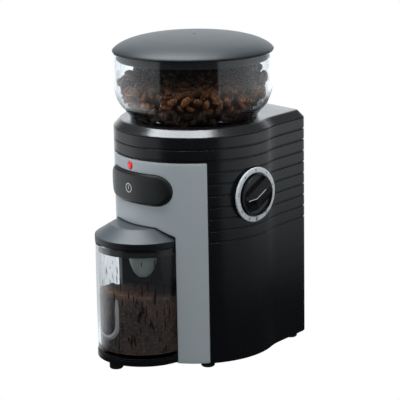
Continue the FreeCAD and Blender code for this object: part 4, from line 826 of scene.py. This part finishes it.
def loop_bead(across, z):
    """Height of a raised U-shaped thumb grip: 0.5 exp(-(d / 1.1)^2) at d mm from an upright rounded loop."""
    spine = np.hypot(across, np.clip(40.0 - z, 0, None)) - 12.5
    return 0.5 * np.exp(-(spine / 1.1) ** 2) * np.clip((62.0 - z) / 14.0, 0, 1)


bead_a = np.radians(np.linspace(-115, -65, 90))
bead_z = np.linspace(24.0, 63.0, 80)
bead_a, bead_z = np.meshgrid(bead_a, bead_z)
bead_r = BIN_R + 0.02 + loop_bead((bead_a + math.pi / 2) * BIN_R, bead_z)
bead = np.stack([bead_r * np.cos(bead_a), BIN_Y + bead_r * np.sin(bead_a), bead_z], -1)
bead_faces = grid_faces(80, 90)
bead_faces = bead_faces[bead_r.ravel()[bead_faces].max(1) > BIN_R + 0.06]
# The thumb grip is raised geometry; its pale coat is a painted highlight along it.
piece("thumb_grip", bead, bead_faces, "bin", "bead_painted_highlight", outward=(0, BIN_Y, 45))
piece("bin_wall", bin_verts, grid_faces(*bin_verts.shape[:2], wrap_cols=True), "bin", "clear_plastic",
      ["bin_container"], sharp=50)
cap_rows = [(37.95, 106.7), (37.85, 107.0), (37.3, 107.4), (36.6, 107.8), (25.2, 114.9), (24.6, 115.2), (23.8, 115.38),
            (22.8, 115.4), (0, 115.4)]
cap_verts = dee_sweep(cap_rows, setback=[0, 0, 0, 0, 0, 0.1, 0.3, 0.6, 0])
band_rows = [(0, 113.6), (23.2, 113.6), (34.0, 105.4), (34.0, 95.3), (35.8, 95.3), (35.85, 101.6), (37.6, 101.7),
             (38.0, 102.1), (38.0, 106.4), (37.95, 106.7)]
band_verts = dee_sweep(band_rows, setback=[0, 2.6, 2.6, 2.6, 2.2, 2.2, 0.4, 0, 0, 0])
piece("bin_lid_band", band_verts, grid_faces(*band_verts.shape[:2], wrap_cols=True), "bin", "cap_band",
      sharp=30, outward=(0, BIN_Y, 90))
piece("bin_lid", cap_verts, grid_faces(*cap_verts.shape[:2], wrap_cols=True), "bin", "cap_slate",
      ["bin_cap"], sharp=22, outward=(0, BIN_Y, 90))
funnel_profile = rounded([(15.4, 113.5), (15.4, 112.1), (12.4, 112.1), (12.4, 91.6), (12.0, 90.6), (10.7, 82.0),
                          (7.7, 74.6), (4.6, 71.0), (3.3, 71.0), (6.4, 74.6), (9.4, 82.0), (11.1, 91.0), (11.1, 113.5)],
                         [0, 0.3, 0.3, 0.2, 0.2, 2, 2, 0.3, 0.3, 2, 2, 2, 0])
funnel_verts, funnel_faces = lathe(funnel_profile, (0, BIN_Y), 96)
piece("funnel", funnel_verts, funnel_faces, "bin", "funnel_grey", ["cap_funnel"], sharp=30)


def grounds_height(x, y):
    """Top of the grounds: 63 less 0.1 a mm to one side and 0.17 a mm to the far side, plus a cone and ripples."""
    cone = 3.5 * np.exp(-((x / 16) ** 2 + ((y - BIN_Y) / 16) ** 2))
    ripple = 0.8 * np.sin(x * 0.35 + 0.8) * np.cos(y * 0.3) + 0.5 * np.sin(x * 0.9 + y * 0.7)
    side = 0.78 * (y - BIN_Y) + 0.62 * x
    far = 0.62 * (y - BIN_Y) - 0.78 * x
    return 63.0 - 0.1 * side - 0.17 * np.clip(far + 25, 0, None) + cone + ripple


ground_rows = [(0.0, 15.9), (1.0, 15.9), (1.0, 30.0), (1.0, 45.0)]
outline = dee(35.75, -22.3)
middle = np.array([0.0, BIN_Y + 12])
mass = [np.column_stack([middle + (outline - middle) * share, np.full(len(outline), z)]) for share, z in ground_rows]
for share in np.concatenate([[1.0], np.linspace(0.99, 0.0, 24)]):
    flat = middle + (outline - middle) * share
    mass.append(np.column_stack([flat, grounds_height(flat[:, 0], flat[:, 1]) - (1.2 if share == 1.0 else 0.0)]))
mass = np.array(mass)
piece("grounds", mass, grid_faces(*mass.shape[:2], wrap_cols=True), "bin", "grounds",
      sharp=60)

dust_rows = dee_sweep([(35.86, 16.5), (35.86, 99.5)])[:, :64]
piece("dust", dust_rows, grid_faces(*dust_rows.shape[:2]), "bin", "dust", outward=(0, BIN_Y, 60))


# ---------------------------------------------------------------- springs
# Coils of round wire behind the button and in the bin sensor, the second one kept short
# so that the plunger has room for its travel.
def coil(centre, radius, wire, start, end, turns):
    """Round wire wound about y: centre line (r cos t, start + pitch t, r sin t), carrying a circle."""
    t = np.linspace(0, 2 * math.pi * turns, 22 * turns + 1)[:, None]
    girth = np.linspace(0, 2 * math.pi, 8, endpoint=False)[None, :]
    thick = np.full(t.shape, wire)
    thick[[0, -1]] = 0.0
    t[0], t[-1] = t[1], t[-2]
    along = start + wire + (end - start - 2 * wire) * t / (2 * math.pi * turns)
    reach = radius + thick * np.cos(girth)
    return np.stack([centre[0] + reach * np.cos(t), along + thick * np.sin(girth), centre[1] + reach * np.sin(t)], -1)


def near_axis(node):
    """Corners of a record node's box, in millimetres about the burr axis."""
    return [(np.array(corner) - AXIS) * 1000 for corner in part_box(node)]


SENSOR_COIL_LENGTH, BUTTON_COIL_R = 3.1, 2.55
low, high = near_axis("bin_switch_spring")
wound = coil(((low[0] + high[0]) / 2, (low[2] + high[2]) / 2), 2.7, 0.28, high[1] - SENSOR_COIL_LENGTH, high[1], 4)
piece("sensor_coil", wound, grid_faces(*wound.shape[:2], wrap_cols=True), "housing", "steel", ["bin_switch_spring"])
low, high = near_axis("button_springs")
pair = [coil((x, (low[2] + high[2]) / 2), 2.27, 0.26, low[1], high[1], 4)
        for x in (low[0] + BUTTON_COIL_R, high[0] - BUTTON_COIL_R)]
coils = np.concatenate(pair)
coil_faces = grid_faces(*pair[0].shape[:2], wrap_cols=True)
piece("button_coils", coils, np.concatenate([coil_faces, coil_faces + pair[0].size // 3]), "housing", "steel",
      ["button_springs"])


# ---------------------------------------------------------------- setting
# White table and backdrop, a large soft key above and to the left, pale cards at both
# sides and a dark room behind the camera.
stage_mesh = bpy.data.meshes.new("table")
stage_mesh.from_pydata([(-6, -6, 0), (6, -6, 0), (6, 6, 0), (-6, 6, 0)], [], [(0, 1, 2, 3)])
table_top = bpy.data.objects.new("table", stage_mesh)
bpy.context.scene.collection.objects.link(table_top)

CAM_POLAR = math.radians(-38.2)
TO_CAMERA = np.array([math.cos(CAM_POLAR), math.sin(CAM_POLAR), 0.0])
TO_RIGHT = np.array([-math.sin(CAM_POLAR), math.cos(CAM_POLAR), 0.0])
MIDDLE = np.array([0.0, 0.0, 0.14])


def in_room(toward, right, up):
    """A direction given towards the camera, to its right and up."""
    way = TO_CAMERA * toward + TO_RIGHT * right + np.array([0, 0, 1.0]) * up
    return Vector(way / np.linalg.norm(way))


def lamp_card(name, place, long_way, distance, size, radiance, colour=(1, 1, 1)):
    """A soft rectangular light in a direction, its long side along `long_way`, its radiance in scene units."""
    way, along = in_room(*place), in_room(*long_way)
    along = (along - way * along.dot(way)).normalized()
    across = way.cross(along)
    data = bpy.data.lights.new(name, "AREA")
    data.shape, data.size, data.size_y, data.color = "RECTANGLE", size[0], size[1], colour
    data.energy = radiance * math.pi * size[0] * size[1]
    lit = bpy.data.objects.new(name, data)
    at = Vector(MIDDLE) + way * distance
    lit.matrix_world = Matrix([[along[k], across[k], way[k], at[k]] for k in range(3)] + [[0, 0, 0, 1]])
    bpy.context.scene.collection.objects.link(lit)
    return lit


lamp_card("key", (0.03, -0.17, 0.95), (-0.47, -1.1, -0.23), 1.25, (1.30, 0.70), 11.0, (0.93, 0.98, 1.0))
fill = lamp_card("fill", (0.92, 0.15, 0.25), (0.0, 1.0, 0.0), 1.6, (1.3, 1.2), 2.0, (0.93, 0.98, 1.0))
fill.visible_glossy = False
fill.visible_transmission = False


def bearing(degrees):
    """A level unit vector at a bearing in degrees."""
    return math.cos(math.radians(degrees)), math.sin(math.radians(degrees)), 0


def room_light(tree, vector, stops, reach=None):
    """Radiance by bearing: dark round the camera, pale cards at both sides, white behind; fades near the object except
    to the left, a painted shadow of the object on the table.
    """
    flat = maths(tree, "VectorMath", "MULTIPLY", vector, (1, 1, 0))
    unit = maths(tree, "VectorMath", "NORMALIZE", flat)
    facing = maths(tree, "VectorMath", "DOT_PRODUCT", unit, bearing(-45))
    ramp = tree.nodes.new("ShaderNodeValToRGB")
    tree.links.new(ranged(tree, facing, 0, 1, -1, 1), ramp.inputs[0])
    while len(ramp.color_ramp.elements) < len(stops):
        ramp.color_ramp.elements.new(0.5)
    for element, (place, value) in zip(ramp.color_ramp.elements, stops):
        element.position, element.color = place, (value * 0.95, value, value * 1.04, 1)
    if reach is None:
        return ramp.outputs[0]
    # Painted shadow: the table's radiance is dimmed close to the object, except towards the left.
    away = ranged(tree, maths(tree, "VectorMath", "LENGTH", flat), 0.03, 1.0, *reach)
    leftward = ranged(tree, maths(tree, "VectorMath", "DOT_PRODUCT", unit, bearing(-168)), 0.0, 1.0, 0.5, 0.75)
    return maths(tree, "VectorMath", "MULTIPLY", ramp.outputs[0], maths(tree, "Math", "MAXIMUM", away, leftward))


def white_when_seen(tree, colour, target):
    """Pure white straight from the camera, `colour` for every reflection."""
    path = tree.nodes.new("ShaderNodeLightPath")
    tree.links.new(towards(tree, path.outputs["Is Camera Ray"], colour, (1, 1, 1)), target)


world = bpy.data.worlds.new("room")
bpy.context.scene.world = world
world.use_nodes = True
tree = world.node_tree
coord = tree.nodes.new("ShaderNodeTexCoord").outputs["Generated"]
SKY = ((0.0, 1.5), (0.05, 1.2), (0.12, 0.14), (0.4, 0.16), (0.865, 0.4), (0.882, 0.05), (1.0, 0.03))
white_when_seen(tree, room_light(tree, coord, SKY), tree.nodes["Background"].inputs["Color"])
table_finish = bpy.data.materials.new("table_white")
table_finish.use_nodes = True
tree = table_finish.node_tree
tree.nodes.remove(tree.nodes["Principled BSDF"])
glow = tree.nodes.new("ShaderNodeEmission")
coord = object_place(tree)
FLOOR = ((0.0, 1.3), (0.06, 1.2), (0.15, 0.6), (0.25, 0.7), (0.42, 1.0), (0.865, 0.6), (0.882, 0.05), (1.0, 0.03))
# The table is pure white to the camera; in reflections it carries a painted shadow near the object.
white_when_seen(tree, room_light(tree, coord, FLOOR, (0.22, 0.95)), glow.inputs["Color"])
tree.links.new(glow.outputs[0], tree.nodes["Material Output"].inputs["Surface"])
stage_mesh.materials.append(table_finish)

camera_data = bpy.data.cameras.new("camera")
camera_data.lens, camera_data.sensor_width, camera_data.clip_start = 147.41, 36.0, 0.05
camera = bpy.data.objects.new("camera", camera_data)
camera.matrix_world = Matrix(((0.624405, -0.17532253, 0.76117042, 1.01745998 + AXIS[0]),
                              (0.78089561, 0.16244737, -0.60316905, -0.80179498 + AXIS[1]),
                              (-0.01790101, 0.97101641, 0.23834154, 0.44198436), (0, 0, 0, 1)))
bpy.context.scene.collection.objects.link(camera)
bpy.context.scene.camera = camera
bpy.context.scene.view_settings.view_transform = "Standard"
